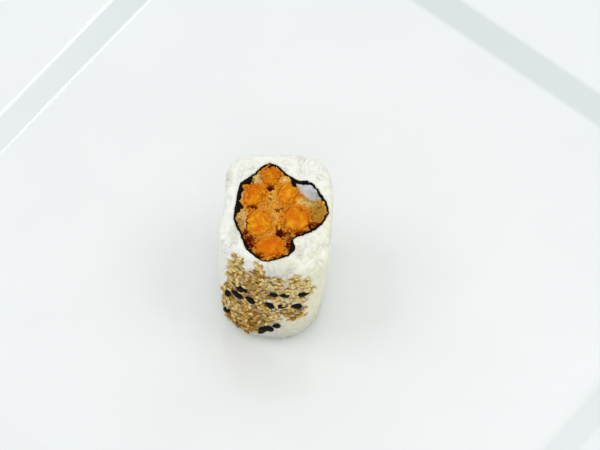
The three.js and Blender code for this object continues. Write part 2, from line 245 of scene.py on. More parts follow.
class SesameSettings(PropertyGroup):
    """Sesame seeds on the outside"""

    length: FloatProperty(
        name="Length", description="Full length of a seed", default=2.8 * MM, unit="LENGTH",
    )
    width: FloatProperty(
        name="Width", description="Full width of a seed", default=1.6 * MM, unit="LENGTH",
    )
    thickness: FloatProperty(
        name="Thickness", description="Full thickness of a seed", default=1.0 * MM, unit="LENGTH",
    )
    spots: IntProperty(
        name="Spots", description="Places for a seed all over the side, kept where sesame lies",
        default=3800, min=1,
    )
    cream: FloatVectorProperty(
        name="Cream", description="Colour of the palest seeds", default=(0.97, 0.77, 0.33), **COLOUR,
    )
    tan: FloatVectorProperty(
        name="Tan", description="Colour of most seeds", default=(0.64, 0.385, 0.075), **COLOUR,
    )
    toasted: FloatVectorProperty(
        name="Toasted", description="Colour of the darkest toasted seeds",
        default=(0.30, 0.135, 0.02), **COLOUR,
    )
    black: FloatVectorProperty(
        name="Black", description="Colour of the black seeds", default=(0.006, 0.005, 0.004), **COLOUR,
    )


class FillingSettings(PropertyGroup):
    """Seaweed, batter and vegetable"""

    seaweed: FloatVectorProperty(
        name="Seaweed", description="Colour of the moist sheet",
        default=(0.004, 0.0018, 0.0008), **COLOUR,
    )
    batter: FloatVectorProperty(
        name="Batter", description="Colour of the fried batter", default=(0.74, 0.275, 0.014), **COLOUR,
    )
    batter_pale: FloatVectorProperty(
        name="Pale batter", description="Colour of its soft inner crumbs",
        default=(0.86, 0.54, 0.10), **COLOUR,
    )
    batter_cream: FloatVectorProperty(
        name="Cream batter", description="Colour of its palest patches",
        default=(0.80, 0.60, 0.24), **COLOUR,
    )
    # Painted shade in the batter's holes and creases, and its real browned patches, share this colour.
    batter_shade_and_browned: FloatVectorProperty(
        name="Browned batter", description="Colour deep in its holes",
        default=(0.17, 0.013, 0.0008), **COLOUR,
    )
    batter_olive: FloatVectorProperty(
        name="Olive batter", description="Colour where the batter is oily and greenish gold",
        default=(0.42, 0.235, 0.03), **COLOUR,
    )
    vegetable: FloatVectorProperty(
        name="Vegetable", description="Colour of the cooked sticks",
        default=(0.78, 0.19, 0.002), **COLOUR,
    )
    vegetable_amber: FloatVectorProperty(
        name="Amber vegetable", description="Colour of the softer patches in the sticks",
        default=(0.72, 0.265, 0.003), **COLOUR,
    )
    vegetable_fleck: FloatVectorProperty(
        name="Vegetable flecks", description="Colour of the bright fibres in the sticks",
        default=(0.90, 0.40, 0.010), **COLOUR,
    )
    crumb: FloatProperty(
        name="Crumb", description="Size of a large crumb of batter", default=1.1 * MM, unit="LENGTH",
    )
    crumb_count: IntProperty(
        name="Crumbs", description="Loose crumbs spread over the batter", default=1900, min=1,
    )


class StageSettings(PropertyGroup):
    """Floor, lights and camera"""

    elevation: FloatProperty(
        name="Elevation", description="How far above the floor the camera looks from",
        default=math.radians(60.5), unit="ROTATION",
    )
    azimuth: FloatProperty(
        name="Azimuth", description="Where the camera stands, turned from the front of the plate",
        default=math.radians(38.9), unit="ROTATION",
    )
    distance: FloatProperty(
        name="Distance", description="From the camera to the point it looks at",
        default=1.53, unit="LENGTH",
    )
    lens: FloatProperty(
        name="Lens", description="Focal length in millimetres", default=270, unit="CAMERA",
    )
    aim: FloatVectorProperty(
        name="Aim", description="Point on the well that the camera looks at",
        subtype="XYZ", size=3, default=(-9.34 * MM, 12.0 * MM, 7.2 * MM),
    )
    side_power: FloatProperty(
        name="Side lights", description="Power of each light at the sides", default=6.8, unit="POWER",
    )
    front_power: FloatProperty(
        name="Front light", description="Power of the light above the camera", default=3.4, unit="POWER",
    )
    back_power: FloatProperty(
        name="Back light", description="Power of the small light at the back", default=1.0, unit="POWER",
    )
    ambient: FloatProperty(
        name="Ambient", description="Brightness of the white surroundings", default=0.77, min=0,
    )
    floor: FloatVectorProperty(
        name="Floor", description="Colour of the floor", default=(0.80, 0.80, 0.79), **COLOUR,
    )


# ---------------------------------------------------------------- lines and surfaces of the roll


def smooth_line(points, count):
    """Even steps along the smooth closed line through points (a centripetal spline)."""
    points = np.array(points, float)
    stretches = []
    for i in range(len(points)):
        before, start, end, after = (points[(i + k) % len(points)] for k in (-1, 0, 1, 2))
        step_in, step, step_out = (
            math.sqrt(np.linalg.norm(b - a)) for a, b in ((before, start), (start, end), (end, after))
        )
        leave = step * (
            (start - before) / step_in - (end - before) / (step_in + step) + (end - start) / step
        )
        arrive = step * (
            (end - start) / step - (after - start) / (step + step_out) + (after - end) / step_out
        )
        t = np.linspace(0, 1, 80, endpoint=False)[:, None]
        stretches.append(
            start + leave * t
            + (3 * (end - start) - 2 * leave - arrive) * t ** 2
            + (2 * (start - end) + leave + arrive) * t ** 3
        )
    line = np.vstack(stretches + [stretches[0][:1]])
    run = np.concatenate([[0], np.cumsum(np.linalg.norm(np.diff(line, axis=0), axis=1))])
    even = np.linspace(0, run[-1], count, endpoint=False)
    return np.column_stack([np.interp(even, run, line[:, 0]), np.interp(even, run, line[:, 1])])


def outward_normals(line):
    """Outward directions along an anticlockwise closed line."""
    along = np.roll(line, -1, axis=0) - np.roll(line, 1, axis=0)
    along /= np.linalg.norm(along, axis=1)[:, None]
    return np.column_stack([along[:, 1], -along[:, 0]])


def radius_by_angle(line):
    """A function that gives a closed line's distance from the middle at any angle."""
    angles = np.arctan2(line[:, 1], line[:, 0])
    order = np.argsort(angles)
    radii = np.hypot(line[:, 0], line[:, 1])[order]
    angles = angles[order]
    return lambda angle: np.interp(angle, angles, radii, period=2 * math.pi)


def superellipse(half_x, half_y, squareness, count):
    """A closed line between an ellipse and a rectangle."""
    angle = np.linspace(0, 2 * math.pi, count, endpoint=False)
    c, s = np.cos(angle), np.sin(angle)
    return np.column_stack([
        half_x * np.sign(c) * np.abs(c) ** (2 / squareness),
        half_y * np.sign(s) * np.abs(s) ** (2 / squareness),
    ])


def smoothstep(value, low, high):
    """0 below low, 1 above high and a smooth rise between."""
    t = np.clip((value - low) / (high - low), 0, 1)
    return t * t * (3 - 2 * t)


CUT_RADIUS = radius_by_angle(smooth_line(RICE_OUTLINE, 360) * MM)
BASE_RADIUS = radius_by_angle(superellipse(*(half / BASE_SCALE for half in BASE_HALF), BASE_SQUARENESS, 360))

# Way up over the side, from the foot of the rice to the edge of the cut and on over the cut.
FOOT_BEND = FOOT_ROUND * math.pi / 2
SIDE_LENGTH = ROLL_HEIGHT - FOOT_ROUND - EDGE_ROUND
EDGE_BEND = EDGE_ROUND * math.pi / 2
CUT_START = FOOT_BEND + SIDE_LENGTH + EDGE_BEND


def rice_radius(angle, z):
    """Outline of the body of rice at a height."""
    share = smoothstep(z, 0, ROLL_HEIGHT)
    return BASE_RADIUS(angle) * (1 - share) + CUT_RADIUS(angle) * share - GRAIN_STAND_OUT


def over_rice(angle, way, depth):
    """Points of the straight roll, a way up over the rice from its foot and a depth above it."""
    foot = np.clip(1 - way / FOOT_BEND, 0, 1) * math.pi / 2
    edge = np.clip((way - FOOT_BEND - SIDE_LENGTH) / EDGE_BEND, 0, 1) * math.pi / 2
    side = np.clip(way - FOOT_BEND, 0, SIDE_LENGTH)
    on_cut = np.maximum(way - CUT_START, 0)
    inward = FOOT_ROUND * (1 - np.cos(foot)) + EDGE_ROUND * (1 - np.cos(edge)) + on_cut
    z = FOOT_ROUND * (1 - np.sin(foot)) + side + EDGE_ROUND * np.sin(edge)
    radius = rice_radius(angle, z) - inward + depth * np.cos(edge) * np.cos(foot)
    z = z + depth * (np.sin(edge) - np.sin(foot))
    return np.stack([radius * np.cos(angle), radius * np.sin(angle), z], axis=-1)


def stood(points):
    """Stands points of the straight roll on the plate, its foot drawn in most at its front left."""
    x, y, z = np.asarray(points, float).T
    up = z / ROLL_HEIGHT
    from_corner = (np.degrees(np.arctan2(y, x)) % 360 - CORNER_AT) / CORNER_REACH
    pull = (FOOT_PULL + CORNER_PULL * np.exp(-from_corner ** 2)) * np.clip(1 - z / PULL_HEIGHT, 0, 1) ** 2
    scale = (BASE_SCALE + (1 - BASE_SCALE) * up) * (1 - pull)
    z = z + up * y * math.tan(CUT_TILT)
    x = x * scale + LEAN_RIGHT * up
    y = y * scale + LEAN_BACK * up
    c, s = math.cos(ROLL_TURN), math.sin(ROLL_TURN)
    return np.column_stack([
        c * x - s * y + ROLL_PLACE[0],
        s * x + c * y + ROLL_PLACE[1],
        z + ROLL_BASE,
    ])


def flattened(points):
    """Points brought to height 0."""
    return np.column_stack([points[:, :2], np.zeros(len(points))])


def rough(points, size, seed=0.0):
    """Smooth noise from -1 to 1 with lumps of about that size, one value for each point."""
    shift = Vector((seed * 7.3, seed * 3.1, seed * 5.7))
    return np.array([noise.noise(Vector(point) / size + shift) for point in points])


def lumps(points, size, seed=0.0):
    """Rounded lumps with creases between them, from 0 to about 1."""
    shift = Vector((seed * 5.1, seed * 2.3, seed * 3.7))
    return np.array([
        1 - min(1.0, noise.voronoi(Vector((*point[:2], 0)) / size + shift)[0][0] * 1.25) for point in points
    ])


def inside_line(points, line):
    """Whether points lie within a closed line."""
    x, y = points[:, 0], points[:, 1]
    inside = np.zeros(len(points), bool)
    for (x0, y0), (x1, y1) in zip(line, np.roll(line, -1, axis=0)):
        crosses = (y0 > y) != (y1 > y)
        inside ^= crosses & (x < (x1 - x0) * (y - y0) / (y1 - y0 + 1e-15) + x0)
    return inside


def moved_out(line, distance):
    """A closed line moved outwards by a distance, the same or one for each point."""
    return line + outward_normals(line) * np.reshape(distance, (-1, 1))


def nearest_on(lines):
    """A function that gives the nearest place on closed lines, and how far it is."""
    dense = np.vstack([
        line + (np.roll(line, -1, axis=0) - line) * share
        for line in lines for share in np.linspace(0, 1, 6, endpoint=False)
    ])
    tree = kdtree.KDTree(len(dense))
    for i, (x, y) in enumerate(dense):
        tree.insert((x, y, 0), i)
    tree.balance()

    def find(points):
        found = [tree.find((x, y, 0)) for x, y in points[:, :2]]
        return np.array([place[:2] for place, _, _ in found]), np.array([away for _, _, away in found])

    return find


def spread(points, spots, near=0.6, far=1.3, ragged=0):
    """1, or its strength where a spot has a fifth number, within oval spots of the cut, and 0 away."""
    total = np.zeros(len(points))
    for right, back, half_width, half_depth, *strength in spots:
        away = ragged + np.hypot(
            (points[:, 0] / MM - right) / half_width, (points[:, 1] / MM - back) / half_depth,
        )
        total = np.maximum(total, math.prod(strength) * (1 - smoothstep(away, near, far)))
    return total


def seaweed_wall(line):
    """Thickness of the seaweed at points along its outside."""
    marks = np.array(SEAWEED + SEAWEED_BETWEEN) * MM
    away = np.linalg.norm(line[:, None] - marks[None, :, :2], axis=2)
    weight = 1 / (away + 0.3 * MM) ** 4
    return (weight * marks[:, 2]).sum(axis=1) / weight.sum(axis=1)


def seaweed_lines(count):
    """The smooth line of the seaweed, and its wavy outer and inner lines at the cut."""
    line = smooth_line(SEAWEED_OUTLINE, count) * MM
    flat = flattened(line)
    wave = 0.35 * MM * rough(flat, 1.7 * MM) + 0.3 * MM * rough(flat, 0.6 * MM, 2)
    outside = moved_out(line, np.maximum(wave, -0.15 * MM))
    wall = np.maximum(seaweed_wall(line) * (1 + 0.6 * rough(flat, 1.2 * MM, 3)), 0.25 * MM)
    return line, outside, outside - outward_normals(line) * wall[:, None]


def seaweed_inside():
    """The inner line of the seaweed at the cut."""
    return seaweed_lines(480)[2]


# ---------------------------------------------------------------- modelling helpers


def added(add, **options):
    """Adds a primitive with nothing else selected and returns it."""
    bpy.ops.object.select_all(action="DESELECT")
    add(**options)
    return bpy.context.active_object


def corners_of(piece):
    """The places of a mesh's corners."""
    places = np.empty(len(piece.data.vertices) * 3)
    piece.data.vertices.foreach_get("co", places)
    return places.reshape(-1, 3)


def move_corners(piece, places):
    """Puts a mesh's corners at new places."""
    piece.data.vertices.foreach_set("co", np.ascontiguousarray(places, dtype=np.float64).ravel())
    piece.data.update()


def pick(piece):
    """Makes a piece the only one selected."""
    bpy.ops.object.select_all(action="DESELECT")
    piece.select_set(True)
    bpy.context.view_layer.objects.active = piece


def smoothed(piece, degrees=180):
    """Shades a piece smooth, with edges sharper than an angle left sharp."""
    pick(piece)
    if degrees < 180:
        bpy.ops.object.shade_smooth_by_angle(angle=math.radians(degrees))
    else:
        bpy.ops.object.shade_smooth()


def facing_out(piece, merge=0.0):
    """Merges corners within a distance and turns all faces of a closed piece outwards."""
    pick(piece)
    bpy.ops.object.mode_set(mode="EDIT")
    bpy.ops.mesh.select_all(action="SELECT")
    if merge > 0:
        bpy.ops.mesh.remove_doubles(threshold=merge)
    bpy.ops.mesh.normals_make_consistent(inside=False)
    bpy.ops.object.mode_set(mode="OBJECT")


def settled(piece, name, material, slot, *nodes):
    """Names a finished piece, gives it its finish and puts it in place of CAD nodes."""
    piece.name = name
    piece.data.name = name
    piece.data.materials.clear()
    piece.data.materials.append(material)
    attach(piece, "root")
    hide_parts(*nodes)
    return piece


def marked(piece, **named):
    """Keeps named values for each corner of a mesh, for its material to read."""
    for name, values in named.items():
        attribute = piece.data.attributes.new(name, "FLOAT", "POINT")
        attribute.data.foreach_set("value", np.ascontiguousarray(values, dtype=np.float32))


def joined(name, model, places, shades):
    """One mesh of many copies of a modelled piece, from each copy's corners and its shade."""
    copies, size = places.shape[:2]
    faces = [tuple(face.vertices) for face in model.data.polygons]
    mesh = bpy.data.meshes.new(name)
    mesh.from_pydata(
        places.reshape(-1, 3).tolist(), [],
        [tuple(i * size + corner for corner in face) for i in range(copies) for face in faces],
    )
    piece = bpy.data.objects.new(name, mesh)
    bpy.context.scene.collection.objects.link(piece)
    marked(piece, shade=np.repeat(shades, size))
    bpy.data.objects.remove(model)
    smoothed(piece)
    return piece


def turned_copies(model, sizes, turns, tilts, rolls):
    """Corners of many copies of a model: sized, rolled on its length, tilted and turned flat."""
    places = list(np.moveaxis(corners_of(model)[None] * sizes[:, None, :], -1, 0))
    for angles, first, second in ((rolls, 1, 2), (tilts, 0, 2), (turns, 0, 1)):
        c, s = np.cos(angles)[:, None], np.sin(angles)[:, None]
        a, b = places[first], places[second]
        places[first], places[second] = c * a - s * b, s * a + c * b
    return places


def cut_spots(count, reach, back, jitter, draws):
    """Places spread evenly over the cut, on a sunflower's spiral with a little jitter."""
    index = np.arange(count)
    angle = index * GOLDEN_ANGLE
    radius = reach * np.sqrt((index + 0.5) / count)
    spots = np.column_stack([radius * np.cos(angle), radius * np.sin(angle) + back])
    return spots + draws.normal(0, jitter, spots.shape)


def laid_on_cut(copies, spots, heights):
    """Puts copies at places of the cut of the straight roll, each at its height."""
    x, y, z = copies
    return np.stack([x + spots[:, :1], y + spots[:, 1:], z + heights], axis=-1)


def laid_on_rice(copies, angles, ways, depths):
    """Lays copies over the rice of the straight roll, bent along with it."""
    x, y, z = copies
    radius = rice_radius(angles, np.clip(ways, 0, ROLL_HEIGHT))
    inward = np.maximum(ways - CUT_START, 0)
    around = angles[:, None] + x / np.maximum(radius - inward, 4 * MM)[:, None]
    return over_rice(around, ways[:, None] + y, depths[:, None] + z)


def standing(places):
    """Stands copies in the straight roll on the plate."""
    return stood(places.reshape(-1, 3)).reshape(places.shape)


def clear_of_seaweed(places):
    """Presses copies that reach over the seaweed at the cut back to its outer side."""
    points = places.reshape(-1, 3).copy()
    line, outside, _ = seaweed_lines(480)
    wave = ((outside - line) * outward_normals(line)).sum(axis=1)
    line = moved_out(line, np.max([np.roll(wave, k) for k in range(-5, 6)], axis=0) + 0.1 * MM)
    over = (points[:, 2] > ROLL_HEIGHT - 4 * MM) & inside_line(points, line)
    points[over, :2] = nearest_on([line])(points[over])[0]
    return points.reshape(places.shape)


def spiral_spots(count, low, high, draws):
    """Angles and ways up, spread evenly on a spiral with a little jitter."""
    index = np.arange(count)
    angles = index * GOLDEN_ANGLE + draws.uniform(-0.05, 0.05, count)
    ways = low + (high - low) * (index + 0.5) / count + draws.uniform(-0.5, 0.5, count) * MM
    return angles % (2 * math.pi), ways


def ring_piece(around, across, place, **values):
    """A closed ring: place gives the corners' places from their steps around and across it.

    values holds functions of the same steps, kept for each corner under their names.
    """
    piece = added(bpy.ops.mesh.primitive_grid_add, x_subdivisions=around, y_subdivisions=across, size=1)
    index = np.arange(len(piece.data.vertices))
    steps = index % (around + 1) % around, index // (around + 1) % across
    move_corners(piece, place(*steps))
    marked(piece, **{name: value(*steps) for name, value in values.items()})
    facing_out(piece, merge=0.0001 * MM)
    smoothed(piece)
    return piece


def rod_model(segments, rings, blunt, pinch):
    """A small closed rod along X from -1 to 1, with blunt ends and one end pinched."""
    model = added(
        bpy.ops.mesh.primitive_uv_sphere_add, segments=segments, ring_count=rings, radius=1,
        rotation=(0, math.pi / 2, 0),
    )
    bpy.ops.object.transform_apply(location=False, rotation=True, scale=False)
    x, y, z = corners_of(model).T
    girth = np.hypot(y, z)
    fuller = np.where(girth > 1e-6, np.maximum(girth, 1e-6) ** (blunt - 1), 1) * (1 - pinch * x)
    move_corners(model, np.column_stack([x, y * fuller, z * fuller]))
    return model


def cut_block(outline, holes, cell, level):
    """A block of the filling from its base to the cut, as fine as cell at the cut.

    level(points, edge) gives the height at points of the cut that lie edge away from its rim.
    Returns the block, its corners in the straight roll and their distance from the rim.
    """
    low, high = outline.min(axis=0), outline.max(axis=0)
    cells = np.ceil((high - low) / cell).astype(int)
    block = added(
        bpy.ops.mesh.primitive_grid_add, x_subdivisions=int(cells[0]), y_subdivisions=int(cells[1]), size=1,
    )
    flat = corners_of(block)
    flat[:, :2] = low + (flat[:, :2] + 0.5) * (high - low)
    move_corners(block, flat)
    middles = np.array([face.center[:2] for face in block.data.polygons])
    kept = inside_line(middles, outline)
    for hole in holes:
        kept &= ~inside_line(middles, hole)
    pick(block)
    bpy.context.tool_settings.mesh_select_mode = (False, False, True)
    block.data.polygons.foreach_set("select", ~kept)
    bpy.ops.object.mode_set(mode="EDIT")
    bpy.ops.mesh.delete(type="FACE")
    bpy.ops.mesh.select_mode(type="VERT")
    bpy.ops.mesh.select_all(action="SELECT")
    bpy.ops.mesh.region_to_loop()
    bpy.ops.object.mode_set(mode="OBJECT")
    rim = np.zeros(len(block.data.vertices), bool)
    block.data.vertices.foreach_get("select", rim)
    find = nearest_on([outline, *holes])
    flat = corners_of(block)
    place, edge = find(flat)
    flat[rim, :2] = place[rim]
    edge[rim] = 0
    flat[:, 2] = level(flat, edge)
    move_corners(block, flat)
    bpy.ops.object.mode_set(mode="EDIT")
    bpy.ops.mesh.extrude_edges_move()
    bpy.ops.transform.resize(value=(1, 1, 0), center_override=(0, 0, 0))
    bpy.ops.mesh.fill()
    bpy.ops.object.mode_set(mode="OBJECT")
    straight = corners_of(block)
    edge = np.concatenate([edge, np.zeros(len(straight) - len(edge))])
    move_corners(block, stood(straight))
    facing_out(block)
    smoothed(block, 60)
    return block, straight, edge


# ---------------------------------------------------------------- shader parts


def feed(tree, socket, value):
    """Links an input from another socket, or gives it a number, a direction or a colour."""
    if isinstance(value, bpy.types.NodeSocket):
        tree.links.new(value, socket)
    elif socket.type == "RGBA":
        socket.default_value = (*value[:3], 1)
    else:
        socket.default_value = value


def add_node(tree, kind, **inputs):
    """Adds a shader node and feeds the inputs that are named."""
    item = tree.nodes.new(kind)
    for name, value in inputs.items():
        feed(tree, item.inputs[name.replace("_", " ")], value)
    return item


def worked(tree, operation, *values):
    """Result of a sum on two or three values."""
    item = tree.nodes.new("ShaderNodeMath")
    item.operation = operation
    for socket, value in zip(item.inputs, values):
        feed(tree, socket, value)
    return item.outputs[0]


def ranged(tree, value, low, high, to_low=0.0, to_high=1.0):
    """A value between low and high, brought to the range of two others and kept in it."""
    item = add_node(
        tree, "ShaderNodeMapRange", Value=value, From_Min=low, From_Max=high, To_Min=to_low, To_Max=to_high,
    )
    return item.outputs["Result"]


def mixed(tree, colour, *layers):
    """A colour with others laid over it in turn, each layer a share and its colour."""
    for share, over in layers:
        item = tree.nodes.new("ShaderNodeMix")
        item.data_type = "RGBA"
        for socket, value in zip((s for s in item.inputs if s.enabled), (share, colour, over)):
            feed(tree, socket, value)
        colour = next(s for s in item.outputs if s.enabled)
    return colour


def corner_value(tree, name, most=1.0):
    """The value kept under a name for each corner of the piece, times most."""
    item = tree.nodes.new("ShaderNodeAttribute")
    item.attribute_name = name
    return worked(tree, "MULTIPLY", item.outputs["Fac"], most)


def mottle_group():
    """Node group: patches of a second colour, and a fine relief, at sizes given in metres."""
    name = "Mottle"
    if name in bpy.data.node_groups:
        return bpy.data.node_groups[name]
    tree = bpy.data.node_groups.new(name, "ShaderNodeTree")
    for label, kind, default in (
        ("Base", "NodeSocketColor", (0.8, 0.8, 0.8, 1)),
        ("Patch", "NodeSocketColor", (0.5, 0.5, 0.5, 1)),
        ("Patch size", "NodeSocketFloat", 3 * MM),
        ("Patch share", "NodeSocketFloat", 0.5),
        ("Grain size", "NodeSocketFloat", 0.5 * MM),
    ):
        tree.interface.new_socket(label, in_out="INPUT", socket_type=kind).default_value = default
    tree.interface.new_socket("Colour", in_out="OUTPUT", socket_type="NodeSocketColor")
    tree.interface.new_socket("Relief", in_out="OUTPUT", socket_type="NodeSocketFloat")
    given = tree.nodes.new("NodeGroupInput").outputs
    place = tree.nodes.new("ShaderNodeTexCoord").outputs["Object"]

    def noise_of(size, detail, roughness):
        texture = add_node(
            tree, "ShaderNodeTexNoise", Vector=place, Detail=detail, Roughness=roughness,
            Scale=worked(tree, "DIVIDE", 1.0, given[size]),
        )
        return texture.outputs["Fac"]

    low = worked(tree, "MULTIPLY_ADD", worked(tree, "SUBTRACT", 1.0, given["Patch share"]), 0.5, 0.12)
    share = ranged(tree, noise_of("Patch size", 3.0, 0.6), low, worked(tree, "ADD", low, 0.22))
    out = tree.nodes.new("NodeGroupOutput").inputs
    tree.links.new(mixed(tree, given["Base"], (share, given["Patch"])), out["Colour"])
    tree.links.new(noise_of("Grain size", 4.0, 0.65), out["Relief"])
    return tree


def mottled(tree, base, patch, patch_size, patch_share, grain_size):
    """The Mottle group placed in a material with its own values; returns its colour and relief."""
    item = tree.nodes.new("ShaderNodeGroup")
    item.node_tree = mottle_group()
    for socket, value in zip(item.inputs, (base, patch, patch_size, patch_share, grain_size)):
        feed(tree, socket, value)
    return item.outputs["Colour"], item.outputs["Relief"]


def toned(colour, times):
    """A lighter or darker tone of a colour."""
    return tuple(times * part for part in colour)


def new_finish(name, roughness, specular=0.5):
    """A material with a Principled shader; returns the material and its tree."""
    material = bpy.data.materials.new(name)
    material.use_nodes = True
    shader = material.node_tree.nodes["Principled BSDF"]
    shader.inputs["Roughness"].default_value = roughness
    shader.inputs["Specular IOR Level"].default_value = specular
    return material, material.node_tree


def surfaced(tree, colour, height, depth, **constants):
    """Feeds the shader its colour and a bump of a depth in metres, and sets its other inputs."""
    shader = tree.nodes["Principled BSDF"]
    bump = add_node(tree, "ShaderNodeBump", Height=height, Distance=depth, Strength=1.0)
    tree.links.new(colour, shader.inputs["Base Color"])
    tree.links.new(bump.outputs["Normal"], shader.inputs["Normal"])
    for name, value in constants.items():
        shader.inputs[name.replace("_", " ")].default_value = value


def porcelain_finish(settings):
    """White porcelain under a clear glaze."""
    material, tree = new_finish("Glazed porcelain", 0.16)
    spots, grain = mottled(tree, settings.glaze, toned(settings.glaze, 0.985), 40 * MM, 0.5, 14 * MM)
    # Painted shade on the step, as much as the value kept on its corners.
    colour = mixed(tree, spots, (corner_value(tree, "pooled"), settings.pooled))
    surfaced(tree, colour, grain, 0.02 * MM, Coat_Weight=0.4, Coat_Roughness=0.05)
    return material


def rice_finish(settings):
    """Moist cooked rice: white, with painted warm light turning it cream to the right and below the rim, and
    painted shade dulling it at its foot, in patches by the cut and between close seeds.
    """
    material, tree = new_finish("Cooked rice", 0.42, 0.45)
    place = tree.nodes.new("ShaderNodeTexCoord").outputs["Object"]
    across = tree.nodes.new("ShaderNodeVectorMath")
    across.operation = "DOT_PRODUCT"
    feed(tree, across.inputs[0], place)
    feed(tree, across.inputs[1], (math.cos(ROLL_TURN), math.sin(ROLL_TURN), 0))
    # Painted warm light: the cream mottling grows towards the right of the roll and below the rim of its
    # cut.
    to_right = ranged(tree, across.outputs["Value"], -12 * MM, 12 * MM, 0.22)
    height = add_node(tree, "ShaderNodeSeparateXYZ", Vector=place).outputs["Z"]
    below_rim = ranged(tree, height, 60 * MM, 50 * MM, 0.3)
    share = worked(tree, "MULTIPLY", to_right, below_rim)
    spots, grain = mottled(tree, settings.white, settings.cream, 2.4 * MM, share, 0.7 * MM)
    # Painted shade: the rice greys towards its foot and in the patches kept as dull.
    at_foot = ranged(tree, height, 24 * MM, 9 * MM, 0.0, 0.65)
    colour = mixed(
        tree, spots, (0.3, settings.white),
        (corner_value(tree, "shade", 0.35), settings.cream),
        # Painted shade darkens the rice between close-packed seeds.
        (corner_value(tree, "stain", 0.85), settings.stain),
        (worked(tree, "ADD", at_foot, corner_value(tree, "dull", 0.38)), settings.dull),
    )
    surfaced(
        tree, colour, grain, 0.1 * MM,
        Subsurface_Weight=0.3, Subsurface_Scale=1.5 * MM, Subsurface_Radius=(1.0, 0.92, 0.8),
    )
    return material


def sesame_finish(settings):
    """Pale to toasted sesame; each seed has its own shade, and painted shade darkens it round its rim,
    towards its underside.
    """
    material, tree = new_finish("Toasted sesame", 0.55, 0.1)
    shade = corner_value(tree, "shade")
    seed = mixed(
        tree, settings.cream, (ranged(tree, shade, 0.0, 0.5), settings.tan),
        (ranged(tree, shade, 0.6, 1.0), settings.toasted),
    )
    darker = mixed(tree, seed, (0.45, settings.toasted))
    spots, grain = mottled(tree, seed, darker, 1.0 * MM, 0.45, 0.35 * MM)
    # Painted shade round each seed's rim.
    colour = mixed(tree, spots, (corner_value(tree, "rim", 0.7), toned(settings.toasted, 0.5)))
    surfaced(
        tree, colour, grain, 0.12 * MM,
        Subsurface_Weight=0.1, Subsurface_Scale=0.4 * MM, Subsurface_Radius=(1.0, 0.6, 0.3),
    )
    return material


def black_sesame_finish(settings):
    """Black sesame with a dull sheen."""
    material, tree = new_finish("Black sesame", 0.45, 0.07)
    spots, grain = mottled(tree, settings.black, toned(settings.black, 2.2), 0.9 * MM, 0.4, 0.3 * MM)
    surfaced(tree, spots, grain, 0.12 * MM)
    return material


def seaweed_finish(settings):
    """Moist dark seaweed, wrinkled and slightly brown."""
    material, tree = new_finish("Seaweed", 0.5, 0.06)
    spots, grain = mottled(tree, settings.seaweed, toned(settings.seaweed, 3), 1.6 * MM, 0.3, 0.4 * MM)
    surfaced(tree, spots, grain, 0.15 * MM)
    return material


def batter_finish(settings):
    """Fried batter: golden crumb, pale and olive in places, orange by the sticks, with painted shade in its
    holes and creases and browned patches.
    """
    material, tree = new_finish("Fried batter", 0.55, 0.03)
    spots, grain = mottled(tree, settings.batter, settings.batter_pale, 0.9 * MM, 0.34, 0.3 * MM)
    colour = mixed(
        tree, spots,
        (corner_value(tree, "golden", 0.8), settings.batter_pale),
        (corner_value(tree, "pale", 0.75), settings.batter_cream),
        (corner_value(tree, "olive", 0.75), settings.batter_olive),
        (corner_value(tree, "warm", 0.85), mixed(tree, settings.vegetable, (0.5, settings.vegetable_amber))),
        # Painted shade in holes and creases, and real browning, from the dark value.
        (corner_value(tree, "dark"), settings.batter_shade_and_browned),
    )
    surfaced(
        tree, colour, grain, 0.12 * MM,
        Subsurface_Weight=0.25, Subsurface_Scale=0.7 * MM, Subsurface_Radius=(1.0, 0.55, 0.15),
    )
    return material


def vegetable_finish(settings):
    """Cooked orange vegetable, moist and fibrous, flecked with yellow and darker orange, and darkened by
    painted shade round the rim of its cut end.
    """
    material, tree = new_finish("Cooked vegetable", 0.4, 0.05)
    red, green, blue = settings.vegetable
    deep = (0.80 * red, 0.62 * green, 0.5 * blue)
    base = mixed(
        tree, settings.vegetable, (corner_value(tree, "amber"), settings.vegetable_amber),
        (corner_value(tree, "bright"), settings.vegetable_fleck),
    )
    spots, grain = mottled(tree, base, mixed(tree, base, (0.7, deep)), 1.5 * MM, 0.36, 0.3 * MM)
    # Painted shade round the rim of the cut end, with each stick's own dullness and drifting tone.
    colour = mixed(tree, spots, (corner_value(tree, "rim", 0.6), deep))
    surfaced(
        tree, colour, grain, 0.2 * MM,
        Subsurface_Weight=0.2, Subsurface_Scale=1.2 * MM, Subsurface_Radius=(1.0, 0.45, 0.1),
    )
    return material


def wedge_finish(settings):
    """The greyish rice inside the seaweed, cream where it meets the batter."""
    material, tree = new_finish("Inner rice", 0.42, 0.35)
    spots, grain = mottled(tree, settings.wedge, settings.wedge_patches, 1.5 * MM, 0.4, 0.6 * MM)
    colour = mixed(
        tree, spots, (corner_value(tree, "dull"), settings.wedge_grey),
        (corner_value(tree, "shade"), settings.wedge_cream),
    )
    surfaced(
        tree, colour, grain, 0.2 * MM,
        Subsurface_Weight=0.3, Subsurface_Scale=1.4 * MM, Subsurface_Radius=(1.0, 0.9, 0.7),
    )
    return material


# ---------------------------------------------------------------- plate


def rounded_profile(turns, steps=6):
    """A profile of (half side, height, reach) turns, each rounded off over its reach."""
    profile = []
    for i, (half, height, reach) in enumerate(turns):
        here = Vector((half, height))
        if reach == 0 or i in (0, len(turns) - 1):
            profile.append(here)
            continue
        before = here + (Vector(turns[i - 1][:2]) - here).normalized() * reach
        after = here + (Vector(turns[i + 1][:2]) - here).normalized() * reach
        for k in range(steps + 1):
            t = k / steps
            profile.append(before * (1 - t) ** 2 + here * 2 * t * (1 - t) + after * t ** 2)
    return profile


